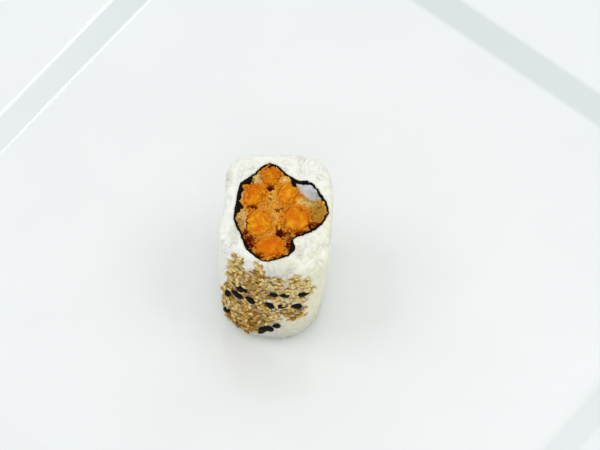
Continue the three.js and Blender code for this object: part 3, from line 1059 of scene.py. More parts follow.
class SUSHI_OT_plate(Operator):
    """Models the glazed plate from its well outwards and round underneath"""

    bl_idname = "sushi.plate"
    bl_label = "Glazed plate"

    def execute(self, context):
        settings = context.scene.sushi_plate
        lip = PLATE_HALF
        step_out = WELL_HALF + STEP_WIDTH
        profile = rounded_profile([
            (WELL_HALF - 8 * MM, WELL_TOP, 0),
            (WELL_HALF, WELL_TOP, settings.bend),
            (step_out, FLANGE_TOP, settings.bend),
            (lip - 2.2 * MM, LIP_TOP + 0.05 * MM, 2 * MM),
            (lip, LIP_TOP - 1.4 * MM, 0.9 * MM),
            (lip - 0.3 * MM, LIP_TOP - 2.6 * MM, 0.8 * MM),
            (lip - 5 * MM, LIP_TOP - PLATE_WALL + 0.4 * MM, 2 * MM),
            (step_out + 4 * MM, FLANGE_TOP - PLATE_WALL, 3 * MM),
            (WELL_HALF + 3 * MM, FOOT_HEIGHT, 3 * MM),
            (FOOT_HALF + 1.2 * MM, FOOT_HEIGHT, 0.6 * MM),
            (FOOT_HALF - 0.2 * MM, 0, 1 * MM),
            (FOOT_HALF - FOOT_WIDTH + 0.2 * MM, 0, 1 * MM),
            (FOOT_HALF - FOOT_WIDTH - 1.2 * MM, FOOT_HEIGHT, 0.6 * MM),
            (FOOT_HALF - FOOT_WIDTH - 9 * MM, FOOT_HEIGHT, 0),
        ])
        start = profile[0]
        plate = added(bpy.ops.mesh.primitive_plane_add, size=2 * start.x, location=(0, 0, start.y))
        bpy.ops.object.transform_apply(location=True, rotation=False, scale=False)
        bpy.ops.object.mode_set(mode="EDIT")
        bpy.ops.mesh.select_all(action="SELECT")
        bpy.ops.mesh.bevel(
            offset=WELL_CORNER * start.x / WELL_HALF, segments=12, profile=0.5, affect="VERTICES",
        )
        bpy.ops.mesh.select_all(action="SELECT")
        bpy.ops.mesh.region_to_loop()
        for before, after in zip(profile, profile[1:]):
            bpy.ops.mesh.extrude_edges_move()
            grow = after.x / before.x
            bpy.ops.transform.resize(value=(grow, grow, 1), center_override=(0, 0, before.y))
            bpy.ops.transform.translate(value=(0, 0, after.y - before.y))
        bpy.ops.mesh.edge_face_add()
        bpy.ops.object.mode_set(mode="OBJECT")
        facing_out(plate)
        smoothed(plate, 40)
        x, y, z = corners_of(plate).T
        half = np.maximum(np.abs(x), np.abs(y))
        # Painted shade on the step: strongest along +Y, less along -X, faint along +X and none along -Y.
        on_step = (z > FOOT_HEIGHT) * smoothstep(half, WELL_HALF - 0.5 * MM, WELL_HALF + 1.5 * MM)
        on_step = on_step * (1 - smoothstep(half, step_out - 1.5 * MM, step_out + 0.5 * MM))
        marked(plate, pooled=on_step * np.clip(0.35 + (0.55 * y - 0.25 * x) / half, 0, 1))
        settled(plate, "plate_glazed", porcelain_finish(settings), "porcelain", "plate")
        return {"FINISHED"}


# ---------------------------------------------------------------- rice

# Patches of painted shade that grey the rice round the cut, in millimetres: right, back, half width, half
# depth.
RICE_SHADE_PATCHES = [(1, -19.6, 5.5, 2.6), (6.6, -14.8, 2.2, 2.6), (-14.6, -9, 1.6, 4), (-16, 12, 1.5, 3)]


def painted_rice_shade(points):
    """How much painted shade greys the rice at points of the straight roll: in patches by the front of the
    cut.
    """
    return spread(points, RICE_SHADE_PATCHES) * smoothstep(points[:, 2], 36 * MM, 46 * MM)


def packed_rice():
    """Body of rice between its side, its cut and the seaweed, a little inside its grains."""
    around, across = 300, 72
    inner_rows = 6
    outer_rows = across - inner_rows
    sunk = 0.2 * MM
    line, outside, _ = seaweed_lines(720)
    seaweed_radii = radius_by_angle(line), radius_by_angle(outside)

    def way_up(i, j):
        angle = 2 * math.pi * i / around
        opening = np.maximum(*(radius(angle) for radius in seaweed_radii)) + SEAWEED_GAP
        rim = np.maximum(rice_radius(angle, ROLL_HEIGHT) - EDGE_ROUND - opening, 0.5 * MM)
        return angle, opening, (CUT_START + rim) * np.minimum(j / (outer_rows - 1), 1)

    def place(i, j):
        angle, opening, way = way_up(i, j)
        straight = over_rice(angle, way, -sunk)
        bumps = rough(straight, 2.6 * MM) + 0.5 * rough(straight, 1.2 * MM, 1)
        on_cut = smoothstep(way, CUT_START - 1 * MM, CUT_START + 1 * MM)
        outer = over_rice(angle, way, -sunk + (0.2 * MM - 0.1 * MM * on_cut) * bumps + 0.08 * MM * on_cut)
        outer[:, :2] *= np.maximum(opening / np.hypot(outer[:, 0], outer[:, 1]), 1)[:, None]
        inner_z = (ROLL_HEIGHT - sunk) * (1 - (j - outer_rows + 1) / (inner_rows + 1))
        inner = np.column_stack([opening * np.cos(angle), opening * np.sin(angle), inner_z])
        return stood(np.where((j < outer_rows)[:, None], outer, inner))

    # Painted shade between close-packed seeds, on the side of the body only.
    def stain(i, j):
        angle, _, way = way_up(i, j)
        return seed_gap_shading(angle, way) * (j < outer_rows)

    # Painted shade in patches by the front of the cut.
    def dull(i, j):
        angle, _, way = way_up(i, j)
        return painted_rice_shade(over_rice(angle, way, 0))

    return ring_piece(around, across, place, stain=stain, dull=dull, shade=lambda i, j: np.full(len(i), 0.5))


class SUSHI_OT_rice(Operator):
    """Models the packed body of rice and the grains pressed into its side and cut"""

    bl_idname = "sushi.rice"
    bl_label = "Rice"

    def execute(self, context):
        settings = context.scene.sushi_rice
        finish = rice_finish(settings)
        settled(packed_rice(), "rice_body", finish, "rice", "rice")

        draws = np.random.default_rng(seed=7)
        half = np.array([settings.length, settings.width, settings.thickness]) / 2
        angles, ways = spiral_spots(settings.side_count, 0.8 * MM, CUT_START - 0.4 * MM, draws)
        total = len(angles)
        sizes = half * draws.uniform((0.78, 0.9, 0.9), (1.1, 1.2, 1.1), (total, 3))
        model = rod_model(10, 6, 0.82, 0.06)
        copies = turned_copies(
            model, sizes, draws.uniform(0, math.pi, total), draws.normal(0, 0.1, total),
            draws.uniform(-0.4, 0.4, total),
        )
        side = laid_on_rice(copies, angles, ways, draws.uniform(-1.1, -0.7, total) * MM)
        cut = self.cut_grains(settings, half, model, draws)
        straight = clear_of_seaweed(np.concatenate([side, cut]))
        grains = joined("rice_grains", model, standing(straight), draws.uniform(0, 1, len(straight)))
        # Painted shade between close-packed seeds, for the side grains only.
        stain = np.concatenate([seed_gap_shading(angles, ways), np.zeros(len(cut))])
        # Painted shade in patches by the cut is kept for each grain.
        marked(grains, dull=painted_rice_shade(straight.reshape(-1, 3)), stain=np.repeat(stain, straight.shape[1]))
        settled(grains, "rice_grains", finish, "rice", "rice")
        return {"FINISHED"}

    def cut_grains(self, settings, half, model, draws):
        """Grains between the seaweed and the rim, sliced level by the knife."""
        spots = cut_spots(settings.cut_count, reach=21.5 * MM, back=0, jitter=0.35 * MM, draws=draws)
        seaweed = smooth_line(SEAWEED_OUTLINE, 240) * MM
        place, away = nearest_on([seaweed])(spots)
        kept = ~inside_line(spots, moved_out(seaweed, 0.9 * MM))
        kept &= inside_line(spots, moved_out(smooth_line(RICE_OUTLINE, 120) * MM, -2.9 * MM))
        spots, place, away = spots[kept], place[kept], away[kept]
        total = len(spots)
        sizes = half * draws.uniform((0.5, 0.85, 0.9), (1.0, 1.15, 1.1), (total, 3))
        along = np.arctan2(spots[:, 1] - place[:, 1], spots[:, 0] - place[:, 0]) + math.pi / 2
        free = smoothstep(away, 1.2 * MM, 3.2 * MM)
        turns = along + free * draws.uniform(-1.6, 1.6, total)
        x, y, z = turned_copies(
            model, sizes, turns, draws.uniform(-0.5, 0.5, total) * free, draws.uniform(-0.5, 0.5, total),
        )
        z = z - draws.uniform(0.75, 1.0, (total, 1)) * MM
        knife = draws.uniform(-0.1, 0.08, (total, 1)) * MM
        z = np.where(z > knife, knife + 0.25 * (z - knife), z)
        return laid_on_cut((x, y, z), spots, ROLL_HEIGHT)


# ---------------------------------------------------------------- sesame

# Millimetres from the middle of the roll to its side, where reaches round it are measured.
SIDE_RADIUS = 20

# Bare rice between the seeds: angle in degrees, height, reach round and reach up in millimetres.
BARE_SPOTS = [
    (240.5, 48, 3.0, 4.5), (276, 47, 2.2, 4), (284, 16, 2, 3.5), (262.5, 30.5, 1.4, 2),
    (270, 50, 4, 2.5),
]

# Seeds toasted darker than the rest: angle in degrees, height and reach in millimetres.
TOASTED_SPOTS = [
    (232, 41, 1.6), (236, 10, 4), (285, 46, 1.4), (287, 24, 1.8), (250, 15, 3.5), (249, 38, 3.5),
    (257, 14, 3.5), (257, 22, 3), (243, 22, 2), (262, 33, 2), (252, 46, 3), (289, 22, 2.5),
    (280, 22, 2),
]

# Pale seeds: angle in degrees, height and reach in millimetres.
PALE_SPOTS = [
    (261, 44, 3), (292, 40, 4.5), (238, 30.5, 2), (296, 18, 3), (262, 18, 1.2), (268, 41, 3),
    (226, 46, 3), (225, 35, 3), (236, 37, 2.5), (244, 33, 1.5), (262, 13.5, 1.2), (281, 38, 3),
    (221, 21, 2.5),
]

# Black seeds at the front and on the hidden side: angle in degrees, height in millimetres, turn in
# degrees, size, and how far pale seeds lie over them, from 0 to 1.
FRONT_BLACK_SEEDS = [
    (234.5, 31.6, 168, 1.2, 0), (239.5, 32.4, 176, 1.0, 0), (232.9, 26.8, 165, 1.4, 0),
    (246.6, 27.7, 140, 1.25, 0), (221.8, 23.4, 90, 1.15, 0), (219, 27.5, 100, 0.7, 1),
    (268, 34.4, 155, 1.05, 0), (277.9, 34.4, 168, 1.1, 0), (294.6, 34.4, 18, 1.3, 1),
    (265.3, 27.1, 137, 1.3, 0), (277.3, 26.2, 8, 1.1, 1), (289.6, 26.3, 172, 1.2, 0),
    (262.4, 10.2, 15, 1.25, 0), (261, 8.6, 35, 1.1, 0), (266.6, 11, 150, 1.2, 0),
    (273.7, 12.9, 140, 1.1, 0), (220.6, 11, 35, 1.2, 0.4),
]
HIDDEN_BLACK_SEEDS = [
    (140, 13, 100, 1, 0), (128, 21, 10, 1, 1), (117, 11, 70, 1.1, 0), (104, 24, 130, 1, 0),
    (91, 14, 20, 1, 1),
]


def on_side(angle, way):
    """Degrees round the roll, and height in millimetres, of places on its side."""
    return np.degrees(angle) % 360, (way - FOOT_BEND + FOOT_ROUND) / MM


def sesame_cover(angle, way):
    """How thickly sesame covers the side, 0 to 1: close at the front and thin low at the back."""
    degrees, height = on_side(angle, way)
    left = np.interp(height, (0, 13, 18, 22, 26, 32, 37, 51), (208, 207, 210, 213, 218, 221, 221, 224))
    cover = smoothstep(degrees, left - 2, left + 3) * (1 - smoothstep(degrees, 294, 303))
    cover = cover * np.where(degrees > 263, 0.8, 1)
    foot = np.interp(degrees, (204, 222, 240, 250, 258, 266, 280, 300), (10, 6, 3.5, 4, 5, 12, 12.5, 14.5))
    cover = cover * smoothstep(height, foot - 1, foot + 2)
    top = np.interp(
        degrees, (215, 222, 226, 234, 237, 243, 246, 250, 256, 260, 266, 272, 285, 300),
        (42, 47, 49.8, 49.8, 45, 42, 46, 50, 50.5, 48.5, 46, 45, 48, 44.5),
    )
    cover = cover * (1 - smoothstep(height, top - 2, top + 1))
    for at, up, reach_round, reach_up in BARE_SPOTS:
        around = np.radians(degrees - at) * SIDE_RADIUS / reach_round
        cover = cover * (1 - np.exp(-(around ** 2 + ((height - up) / reach_up) ** 2) * 1.2))
    hidden = smoothstep(degrees, 45, 90) * (1 - smoothstep(degrees, 138, 150))
    hidden = hidden * smoothstep(height, 3, 12) * (1 - smoothstep(height, 22, 34))
    return np.maximum(cover, 0.45 * hidden)


def seed_gap_shading(angle, way):
    """How much painted shade darkens the rice between the seeds, 0 to 1: most where seeds lie closest."""
    degrees, height = on_side(angle, way)
    below_rim = 1 - smoothstep(height, 44, 48.5)
    return sesame_cover(angle, way) ** 3 * (1 - 0.5 * smoothstep(degrees, 256, 268)) * below_rim


def near_spots(angle, way, spots):
    """1 inside the spots and 0 far from them."""
    degrees = np.degrees(angle) % 360
    total = np.zeros(len(angle))
    for at, up, reach in spots:
        around = np.radians(degrees - at) * SIDE_RADIUS
        total = np.maximum(total, np.exp(-(around ** 2 + (way / MM - up) ** 2) / reach ** 2))
    return total


class SUSHI_OT_sesame(Operator):
    """Scatters pale and black sesame over the side of the roll"""

    bl_idname = "sushi.sesame"
    bl_label = "Sesame"

    def execute(self, context):
        settings = context.scene.sushi_sesame
        half = np.array([settings.length, settings.width, settings.thickness]) / 2
        draws = np.random.default_rng(seed=23)
        angles, ways = spiral_spots(settings.spots, 2 * MM, CUT_START - 1.2 * MM, draws)
        black = np.array(FRONT_BLACK_SEEDS + HIDDEN_BLACK_SEEDS, float)
        kept = draws.uniform(0, 1, len(angles)) < sesame_cover(angles, ways)
        kept &= ~self.beside_black(angles, ways, black)
        angles, ways = angles[kept], ways[kept]
        total = len(angles)
        sizes = half * draws.uniform((0.8, 0.82, 0.8), (1.08, 1.08, 1.15), (total, 3))
        model = rod_model(8, 6, 0.95, 0.3)
        upper = draws.uniform(0, 1, total) < 0.55
        loose = np.where(upper, 1, 0.35)
        copies = turned_copies(
            model, sizes, draws.uniform(0, 2 * math.pi, total),
            loose * draws.normal(0, 0.36, total), loose * draws.normal(0, 0.6, total),
        )
        depths = np.where(upper, draws.uniform(-0.1, 0.4, total), draws.uniform(-0.5, -0.15, total)) * MM
        places = standing(laid_on_rice(copies, angles, ways, depths))
        toasted = near_spots(angles, ways, TOASTED_SPOTS)
        pale = near_spots(angles, ways, PALE_SPOTS)
        lighter = 0.3 * smoothstep(np.degrees(angles), 262, 272) * smoothstep(ways, 22 * MM, 32 * MM)
        # Seeds of the lower layer are shaded darker: painted shade between the upper seeds.
        shade = draws.normal(0.24, 0.27, total) + 0.5 * toasted - 0.4 * pale + 0.4 * ~upper - lighter
        # Painted shade: each seed darkens towards its underside, round the rim where it meets the rice.
        outward = copies[2] / copies[2].max(axis=1, keepdims=True)
        seeds = joined("sesame_pale", model, places, np.clip(shade, 0, 1))
        marked(seeds, rim=(1 - smoothstep(outward, -0.1, 0.65)).ravel())
        settled(seeds, "sesame_pale", sesame_finish(settings), "sesame_pale", "rice")

        total = len(black)
        sizes = half * draws.uniform((1.05, 1.05, 1.0), (1.2, 1.2, 1.2), (total, 3)) * black[:, 3:4]
        model = rod_model(12, 8, 0.95, 0.3)
        copies = turned_copies(
            model, sizes, np.radians(black[:, 2]),
            draws.normal(0, 0.12, total), draws.normal(0, 0.15, total),
        )
        ways = black[:, 1] * MM + FOOT_BEND - FOOT_ROUND
        depths = draws.uniform(0.45, 0.65, total) - 0.3 * black[:, 4]
        places = laid_on_rice(copies, np.radians(black[:, 0]), ways, depths * MM)
        seeds = joined("sesame_black", model, standing(places), draws.uniform(0, 1, total))
        settled(seeds, "sesame_black", black_sesame_finish(settings), "sesame_black", "rice")
        return {"FINISHED"}

    def beside_black(self, angles, ways, black):
        """Whether a spot is so near a black seed that a pale one there would cover it."""
        around = np.radians(np.degrees(angles)[:, None] % 360 - black[:, 0]) * 19 * MM
        up = ways[:, None] - FOOT_BEND + FOOT_ROUND - black[:, 1] * MM
        c, s = np.cos(np.radians(black[:, 2])), np.sin(np.radians(black[:, 2]))
        along, across = c * around + s * up, c * up - s * around
        size = black[:, 3] * (1 - 0.45 * black[:, 4])
        return (np.hypot(along / (1.9 * MM), across / (1.25 * MM)) < size).any(axis=1)


# ---------------------------------------------------------------- seaweed


class SUSHI_OT_seaweed(Operator):
    """Models the wrinkled sheet of seaweed round the filling"""

    bl_idname = "sushi.seaweed"
    bl_label = "Seaweed"

    def execute(self, context):
        settings = context.scene.sushi_filling
        around, across = 480, 16
        line, outside, inside = seaweed_lines(around)
        top = ROLL_HEIGHT + 0.35 * MM * rough(flattened(line), 1.3 * MM, 4)
        half_rows = across // 2
        levels = np.array((0, 0.5, 0.86, 0.94, 0.975, 0.99, 1.0, 1.0))
        rounding = 0.12

        def place(i, j):
            outer = j < half_rows
            row = np.where(outer, j, across - 1 - j)
            level = levels[row]
            z = level * top[i] - np.where(row == half_rows - 2, rounding * MM, 0)
            near_cut = smoothstep(level, 0.8, 1)[:, None]
            lip = np.where(row == half_rows - 1, rounding, 0)[:, None]
            straight = line[i] - (~outer * seaweed_wall(line)[i])[:, None] * outward_normals(line)[i]
            wavy = np.where(outer[:, None], outside[i], inside[i])
            across_wall = np.where(outer[:, None], 1, -1) * (inside[i] - outside[i])
            spot = straight * (1 - near_cut) + wavy * near_cut + lip * across_wall
            return stood(np.column_stack([spot, z]))

        sheet = ring_piece(around, across, place)
        settled(sheet, "seaweed_sheet", seaweed_finish(settings), "seaweed", "seaweed")
        return {"FINISHED"}


# ---------------------------------------------------------------- filling

# Where the batter at the cut is pale cream, golden, olive and browned, in millimetres: right, back,
# half width, half depth.
PALE_BATTER = [
    (-11.6, -3.4, 1.9, 3.6), (-6.7, 11.2, 2.0, 1.8), (-11.4, 5.4, 0.8, 2.6), (2.0, 10.8, 1.2, 1.0),
    (8.4, 2.9, 1.8, 1.2), (10.8, 1.8, 2.2, 1.1),
]
GOLDEN_BATTER = [
    (-1.2, 5.2, 1.8, 2.0), (-4, -8.2, 2.4, 1.5), (-1.4, -2.6, 1.4, 2.6), (2.2, 10.4, 2.4, 2.0),
    (6.6, 3.8, 1.2, 1.2),
]
OLIVE_BATTER = [(12.8, -0.6, 3.2, 3.6), (-12.2, -4.6, 1.0, 2.2)]
BROWNED_BATTER = [
    (-9.3, -11.4, 1.9, 2.6), (-10.6, -7.8, 1.0, 1.4), (8.2, -8.2, 2.8, 1.1), (4.2, -12.3, 1.7, 2.9),
    (3, -8.4, 1.4, 0.9), (-8.6, 1.2, 1.6, 0.8), (12, -5.4, 2.6, 1.3), (-9.9, -4.4, 0.5, 2.2),
    (-6, -16, 2.2, 0.8), (1, -17, 2, 0.7), (-2.6, 15.6, 0.9, 0.6),
]


def stick_outline(stick, grow=0.0):
    """The uneven outline of a stick's end, in metres."""
    _, right, back, width, depth, turn, _ = stick
    line = superellipse((width / 2 + grow) * MM, (depth / 2 + grow) * MM, STICK_SQUARENESS, 90)
    c, s = math.cos(math.radians(turn)), math.sin(math.radians(turn))
    line = line @ np.array([[c, s], [-s, c]]) + np.array((right, back)) * MM
    flat = flattened(line)
    return moved_out(line, 0.75 * MM * rough(flat, 1.9 * MM, 8) + 0.35 * MM * rough(flat, 0.8 * MM, 9))


def hole_depth(points):
    """How deep points lie in the holes of the batter, and 0 away from them."""
    return spread(points, PITS, 0.3, 1.2, 0.3 * rough(flattened(points), 0.9 * MM, 12))


def rim_drop(edge, reach):
    """How far a rim rounded over a reach has dropped at a distance from its edge."""
    rim = np.clip(1 - edge / reach, 0, 1)
    return reach * (1 - np.sqrt(np.maximum(1 - rim ** 2, 0)))


class SUSHI_OT_batter(Operator):
    """Models the crumbly batter between the sticks, with loose crumbs and strands on its cut"""

    bl_idname = "sushi.batter"
    bl_label = "Batter"

    def execute(self, context):
        settings = context.scene.sushi_filling
        finish = batter_finish(settings)
        outline = moved_out(seaweed_inside(), 0.25 * MM)
        by_seaweed = nearest_on([outline])
        sticks = [stick_outline(stick, 0.35) for stick in STICKS]
        wedge = moved_out(smooth_line(WEDGE_OUTLINE, 90) * MM, 0.1 * MM)
        near_stick = nearest_on(sticks)
        tones = {}

        def level(points, edge):
            flat = flattened(points)
            coarse = 0.5 + 0.5 * rough(flat, 1.5 * MM, 1)
            flakes = 1 - 2 * np.abs(rough(flat, 0.95 * MM, 2))
            grit = rough(flat, 0.4 * MM, 3)
            holes = hole_depth(points)
            browned = spread(points, BROWNED_BATTER)
            slump = smoothstep(-edge, -0.5 * MM, 0)
            by_front_seaweed = np.exp(-by_seaweed(points)[1] / (0.6 * MM)) * smoothstep(-points[:, 1], -4 * MM, 6 * MM)
            creases = 1 - smoothstep(coarse + 0.3 * flakes, 0.2, 0.55)
            # The dark value is painted shade in the holes and creases, plus real browning in the browned
            # patches and darkening along the seaweed at the front.
            tones["dark"] = np.clip(1.9 * holes + 1.15 * browned + 0.75 * creases + 0.7 * by_front_seaweed, 0, 1)
            return ROLL_HEIGHT + MM * (
                -0.7 + 0.6 * coarse + 0.4 * flakes + 0.2 * grit - 2.8 * holes - 0.6 * browned - 0.25 * slump
            )

        block, straight, _ = cut_block(outline, [*sticks, wedge], 0.14 * MM, level)
        # The block's sides below the cut get painted shade.
        walls = np.full(len(straight) - len(tones["dark"]), 0.7)
        _, away = near_stick(straight)
        pale = spread(straight, PALE_BATTER)
        warm = np.exp(-(away / (1.5 * MM)) ** 2) * (0.85 + 0.4 * rough(straight, 1.2 * MM, 4))
        marked(
            block, dark=np.concatenate([tones["dark"], walls]), warm=warm * (1 - 0.75 * pale), pale=pale,
            golden=spread(straight, GOLDEN_BATTER), olive=spread(straight, OLIVE_BATTER),
        )
        settled(block, "batter_cut", finish, "batter", "batter")
        self.add_bits(settings, finish, near_stick)
        return {"FINISHED"}

    def add_bits(self, settings, finish, near_stick):
        """Scatters loose crumbs and short strands over the batter and the rims of the sticks."""
        draws = np.random.default_rng(seed=41)
        spots = cut_spots(settings.crumb_count, 18.5 * MM, back=-0.8 * MM, jitter=0.3 * MM, draws=draws)
        kept = inside_line(spots, moved_out(seaweed_inside(), -0.1 * MM))
        kept &= ~inside_line(spots, moved_out(smooth_line(WEDGE_OUTLINE, 60) * MM, -0.3 * MM))
        over_stick = np.zeros(len(spots), bool)
        for stick in STICKS:
            clear = 0.0 if stick[0] == SMOOTH_STICK else -1.1
            kept &= ~inside_line(spots, stick_outline(stick, clear))
            over_stick |= inside_line(spots, stick_outline(stick, 0.1))
        kept &= hole_depth(spots) < 0.3
        spots, over_stick = spots[kept], over_stick[kept]
        total = len(spots)
        strand = draws.uniform(0, 1, total) < 0.35
        model = added(bpy.ops.mesh.primitive_ico_sphere_add, subdivisions=2, radius=1)
        shape = corners_of(model)
        move_corners(model, shape * (1 + 0.6 * rough(shape, 0.8))[:, None])
        sizes = settings.crumb / 2 * draws.uniform(0.3, 0.95, (total, 1))
        sizes = sizes * draws.uniform(0.55, 1.3, (total, 3))
        thin = MM * draws.uniform((0.35, 0.1, 0.1), (0.9, 0.17, 0.15), (total, 3))
        sizes = np.where(strand[:, None], thin, sizes)
        copies = turned_copies(
            model, sizes, draws.uniform(0, 2 * math.pi, total),
            np.where(strand, draws.normal(0, 0.35, total), draws.uniform(-1.5, 1.5, total)),
            draws.uniform(-3, 3, total),
        )
        level = np.where(strand, draws.uniform(0, 0.3, total), draws.uniform(-0.45, 0, total))
        level = ROLL_HEIGHT + (level + 0.35 * over_stick) * MM
        _, away = near_stick(spots)
        places = standing(laid_on_cut(copies, spots, level[:, None]))
        crumbs = joined("batter_crumbs", model, places, draws.uniform(0, 1, total))
        dark = np.where(strand, 0, draws.uniform(0, 1, total) ** 3 * 0.7)
        warm = np.exp(-(away / (1.3 * MM)) ** 2) * draws.uniform(0.5, 1.1, total)
        pale = spread(spots, PALE_BATTER)
        dark = dark + spread(spots, BROWNED_BATTER) * draws.uniform(0.55, 1.1, total)
        golden = spread(spots, GOLDEN_BATTER) + strand * draws.uniform(0, 0.9, total)
        tones = {
            "dark": np.clip(dark, 0, 1),
            "warm": np.maximum(warm * (1 - 0.75 * pale), over_stick),
            "pale": pale,
            "golden": np.clip(golden, 0, 1),
            "olive": spread(spots, OLIVE_BATTER),
        }
        marked(crumbs, **{name: np.repeat(values, places.shape[1]) for name, values in tones.items()})
        settled(crumbs, "batter_crumbs", finish, "batter", "batter")


class SUSHI_OT_sticks(Operator):
    """Models the six vegetable sticks with their cut ends"""

    bl_idname = "sushi.sticks"
    bl_label = "Vegetable sticks"

    def execute(self, context):
        settings = context.scene.sushi_filling
        finish = vegetable_finish(settings)
        for number, stick in enumerate(STICKS):
            smooth = stick[0] == SMOOTH_STICK
            fibre, round_off = (0.35, 1.1 * MM) if smooth else (1.0, 0.5 * MM)
            top = ROLL_HEIGHT + stick[-1] * MM

            def level(points, edge):
                flat = flattened(points)
                bumps = 0.28 * rough(flat, 1.6 * MM, number) + 0.3 * rough(flat, 0.5 * MM, number + 10)
                bumps += 0.4 * lumps(flat, 0.8 * MM, number + 20)
                return top + fibre * MM * bumps - rim_drop(edge, round_off)

            block, straight, edge = cut_block(stick_outline(stick, 0.3), [], 0.16 * MM, level)
            amber, dull, bright = STICK_TONES[stick[0]]
            drift = 1.7 * rough(straight, 2.6 * MM, number + 30)
            fibres = rough(straight * (1, 0.4, 1), 0.8 * MM, number + 40)
            # Painted shade: the colour darkens towards the rim of each stick's cut end, most on the smooth
            # stick, together with each stick's own dullness and drifting tone.
            by_rim = np.exp(-edge / (0.7 * MM))
            rim = dull + 0.5 * drift + (1 if smooth else 0.3) * by_rim
            bright = bright - 0.7 * drift + fibre * (0.8 * fibres + 0.4 * by_rim)
            tones = {"rim": rim, "amber": amber - 0.6 * drift, "bright": bright}
            marked(block, **{name: np.clip(values, 0, 1) for name, values in tones.items()})
            settled(block, stick[0] + "_cooked", finish, "vegetable", stick[0])
        return {"FINISHED"}


class SUSHI_OT_wedge(Operator):
    """Models the wedge of rice inside the seaweed"""

    bl_idname = "sushi.wedge"
    bl_label = "Rice wedge"

    def execute(self, context):
        settings = context.scene.sushi_rice
        outline = smooth_line(WEDGE_OUTLINE, 120) * MM
        within = moved_out(seaweed_inside(), -0.15 * MM)
        place, _ = nearest_on([within])(outline)
        outline = np.where(inside_line(outline, within)[:, None], outline, place)

        def level(points, edge):
            flat = flattened(points)
            soft = 0.8 * lumps(flat, 2.2 * MM, 5) + 0.25 * rough(flat, 0.8 * MM, 6)
            return ROLL_HEIGHT + MM * (soft - 0.5) - rim_drop(edge, 0.9 * MM)

        wedge, straight, _ = cut_block(outline, [], 0.2 * MM, level)
        there_and_back = WEDGE_BY_BATTER + WEDGE_BY_BATTER[2:0:-1]
        _, from_batter = nearest_on([smooth_line(there_and_back, 90) * MM])(straight)
        from_grey = np.linalg.norm(straight[:, :2] - np.array(WEDGE_GREYEST) * MM, axis=1)
        marked(
            wedge, shade=0.95 * np.exp(-from_batter / (1.3 * MM)),
            dull=0.15 + 0.8 * np.exp(-(from_grey / (3.4 * MM)) ** 2),
        )
        settled(wedge, "rice_wedge_soft", wedge_finish(settings), "rice", "rice_wedge")
        return {"FINISHED"}


# ---------------------------------------------------------------- stage


# Lights: name, their place to the right, back and up from the point that the camera looks at and
# their side in metres, and the setting of their power.
LIGHTS = [
    ("left_light", -1.15, 0, 1.9, 0.9, "side_power"),
    ("right_light", 1.15, -0.2, 1.9, 0.9, "side_power"),
    ("front_light", 0, -1.3, 1.9, 0.9, "front_power"),
    ("back_light", 0.365, 0.9375, 2.29, 0.24, "back_power"),
]


def soft_light(name, place, aim, size, power):
    """A large square light that faces a point."""
    data = bpy.data.lights.new(name, "AREA")
    data.shape = "SQUARE"
    data.size = size
    data.energy = power
    light = bpy.data.objects.new(name, data)
    bpy.context.scene.collection.objects.link(light)
    light.location = place
    light.rotation_euler = (Vector(aim) - Vector(place)).to_track_quat("-Z", "Y").to_euler()


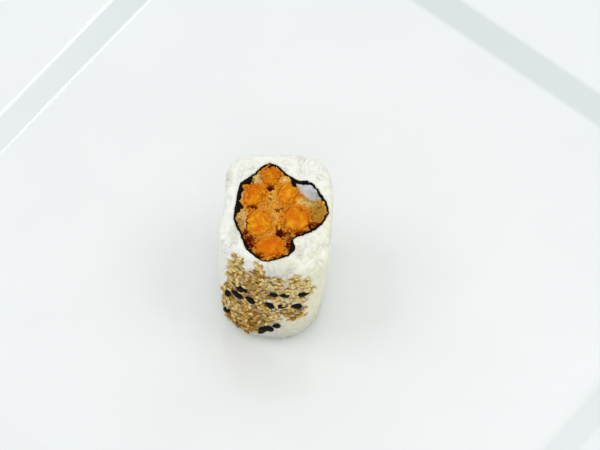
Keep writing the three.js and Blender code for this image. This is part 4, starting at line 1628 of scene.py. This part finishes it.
class SUSHI_OT_stage(Operator):
    """Sets the floor, the soft lights and the camera"""

    bl_idname = "sushi.stage"
    bl_label = "Stage"

    def execute(self, context):
        settings = context.scene.sushi_stage
        floor = added(bpy.ops.mesh.primitive_plane_add, size=6, location=(0, 0, 0))
        floor.name = "floor"
        material, tree = new_finish("Floor", 0.7, 0.2)
        spots, _ = mottled(tree, settings.floor, toned(settings.floor, 0.98), 0.4, 0.5, 0.05)
        tree.links.new(spots, tree.nodes["Principled BSDF"].inputs["Base Color"])
        floor.data.materials.append(material)

        aim = Vector(settings.aim)
        c, s = math.cos(settings.azimuth), math.sin(settings.azimuth)
        right, back = Vector((c, s, 0)), Vector((-s, c, 0))
        up = Vector((0, 0, 1))
        for name, to_right, to_back, above, size, power in LIGHTS:
            place = aim + right * to_right + back * to_back + up * above
            soft_light(name, place, aim, size, getattr(settings, power))
        world = bpy.data.worlds.new("Studio")
        world.use_nodes = True
        background = world.node_tree.nodes["Background"].inputs
        background["Color"].default_value = (0.97, 0.99, 1.0, 1)
        background["Strength"].default_value = settings.ambient
        context.scene.world = world

        data = bpy.data.cameras.new("camera")
        data.lens = settings.lens
        data.sensor_width = 36
        data.clip_end = 20
        camera = bpy.data.objects.new("camera", data)
        context.scene.collection.objects.link(camera)
        towards = back * math.cos(settings.elevation) - up * math.sin(settings.elevation)
        camera.location = aim - towards * settings.distance
        camera.rotation_euler = towards.to_track_quat("-Z", "Y").to_euler()
        context.scene.camera = camera
        context.scene.view_settings.view_transform = "Standard"
        return {"FINISHED"}


# ---------------------------------------------------------------- panel and registration

SETTINGS = {
    "sushi_plate": PlateSettings,
    "sushi_rice": RiceSettings,
    "sushi_sesame": SesameSettings,
    "sushi_filling": FillingSettings,
    "sushi_stage": StageSettings,
}

OPERATORS = (
    SUSHI_OT_plate, SUSHI_OT_rice, SUSHI_OT_sesame, SUSHI_OT_seaweed, SUSHI_OT_batter,
    SUSHI_OT_sticks, SUSHI_OT_wedge, SUSHI_OT_stage,
)


class SUSHI_PT_panel(Panel):
    """Lists the roll's pieces and their settings"""

    bl_label = "Sushi Roll"
    bl_space_type = "VIEW_3D"
    bl_region_type = "UI"
    bl_category = "Sushi Roll"

    def draw(self, context):
        for operator in OPERATORS:
            self.layout.operator(operator.bl_idname)
        for name, group in SETTINGS.items():
            box = self.layout.box()
            box.label(text=group.__doc__)
            for setting in group.__annotations__:
                box.prop(getattr(context.scene, name), setting)


CLASSES = (*SETTINGS.values(), *OPERATORS, SUSHI_PT_panel)


def register():
    for item in CLASSES:
        bpy.utils.register_class(item)
    for name, group in SETTINGS.items():
        setattr(bpy.types.Scene, name, PointerProperty(type=group))


def unregister():
    for name in SETTINGS:
        delattr(bpy.types.Scene, name)
    for item in reversed(CLASSES):
        bpy.utils.unregister_class(item)


def main():
    """Builds every piece in order."""
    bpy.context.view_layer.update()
    register()
    bpy.ops.sushi.plate()
    bpy.ops.sushi.rice()
    bpy.ops.sushi.sesame()
    bpy.ops.sushi.seaweed()
    bpy.ops.sushi.batter()
    bpy.ops.sushi.sticks()
    bpy.ops.sushi.wedge()
    bpy.ops.sushi.stage()


if __name__ == "__main__":
    main()
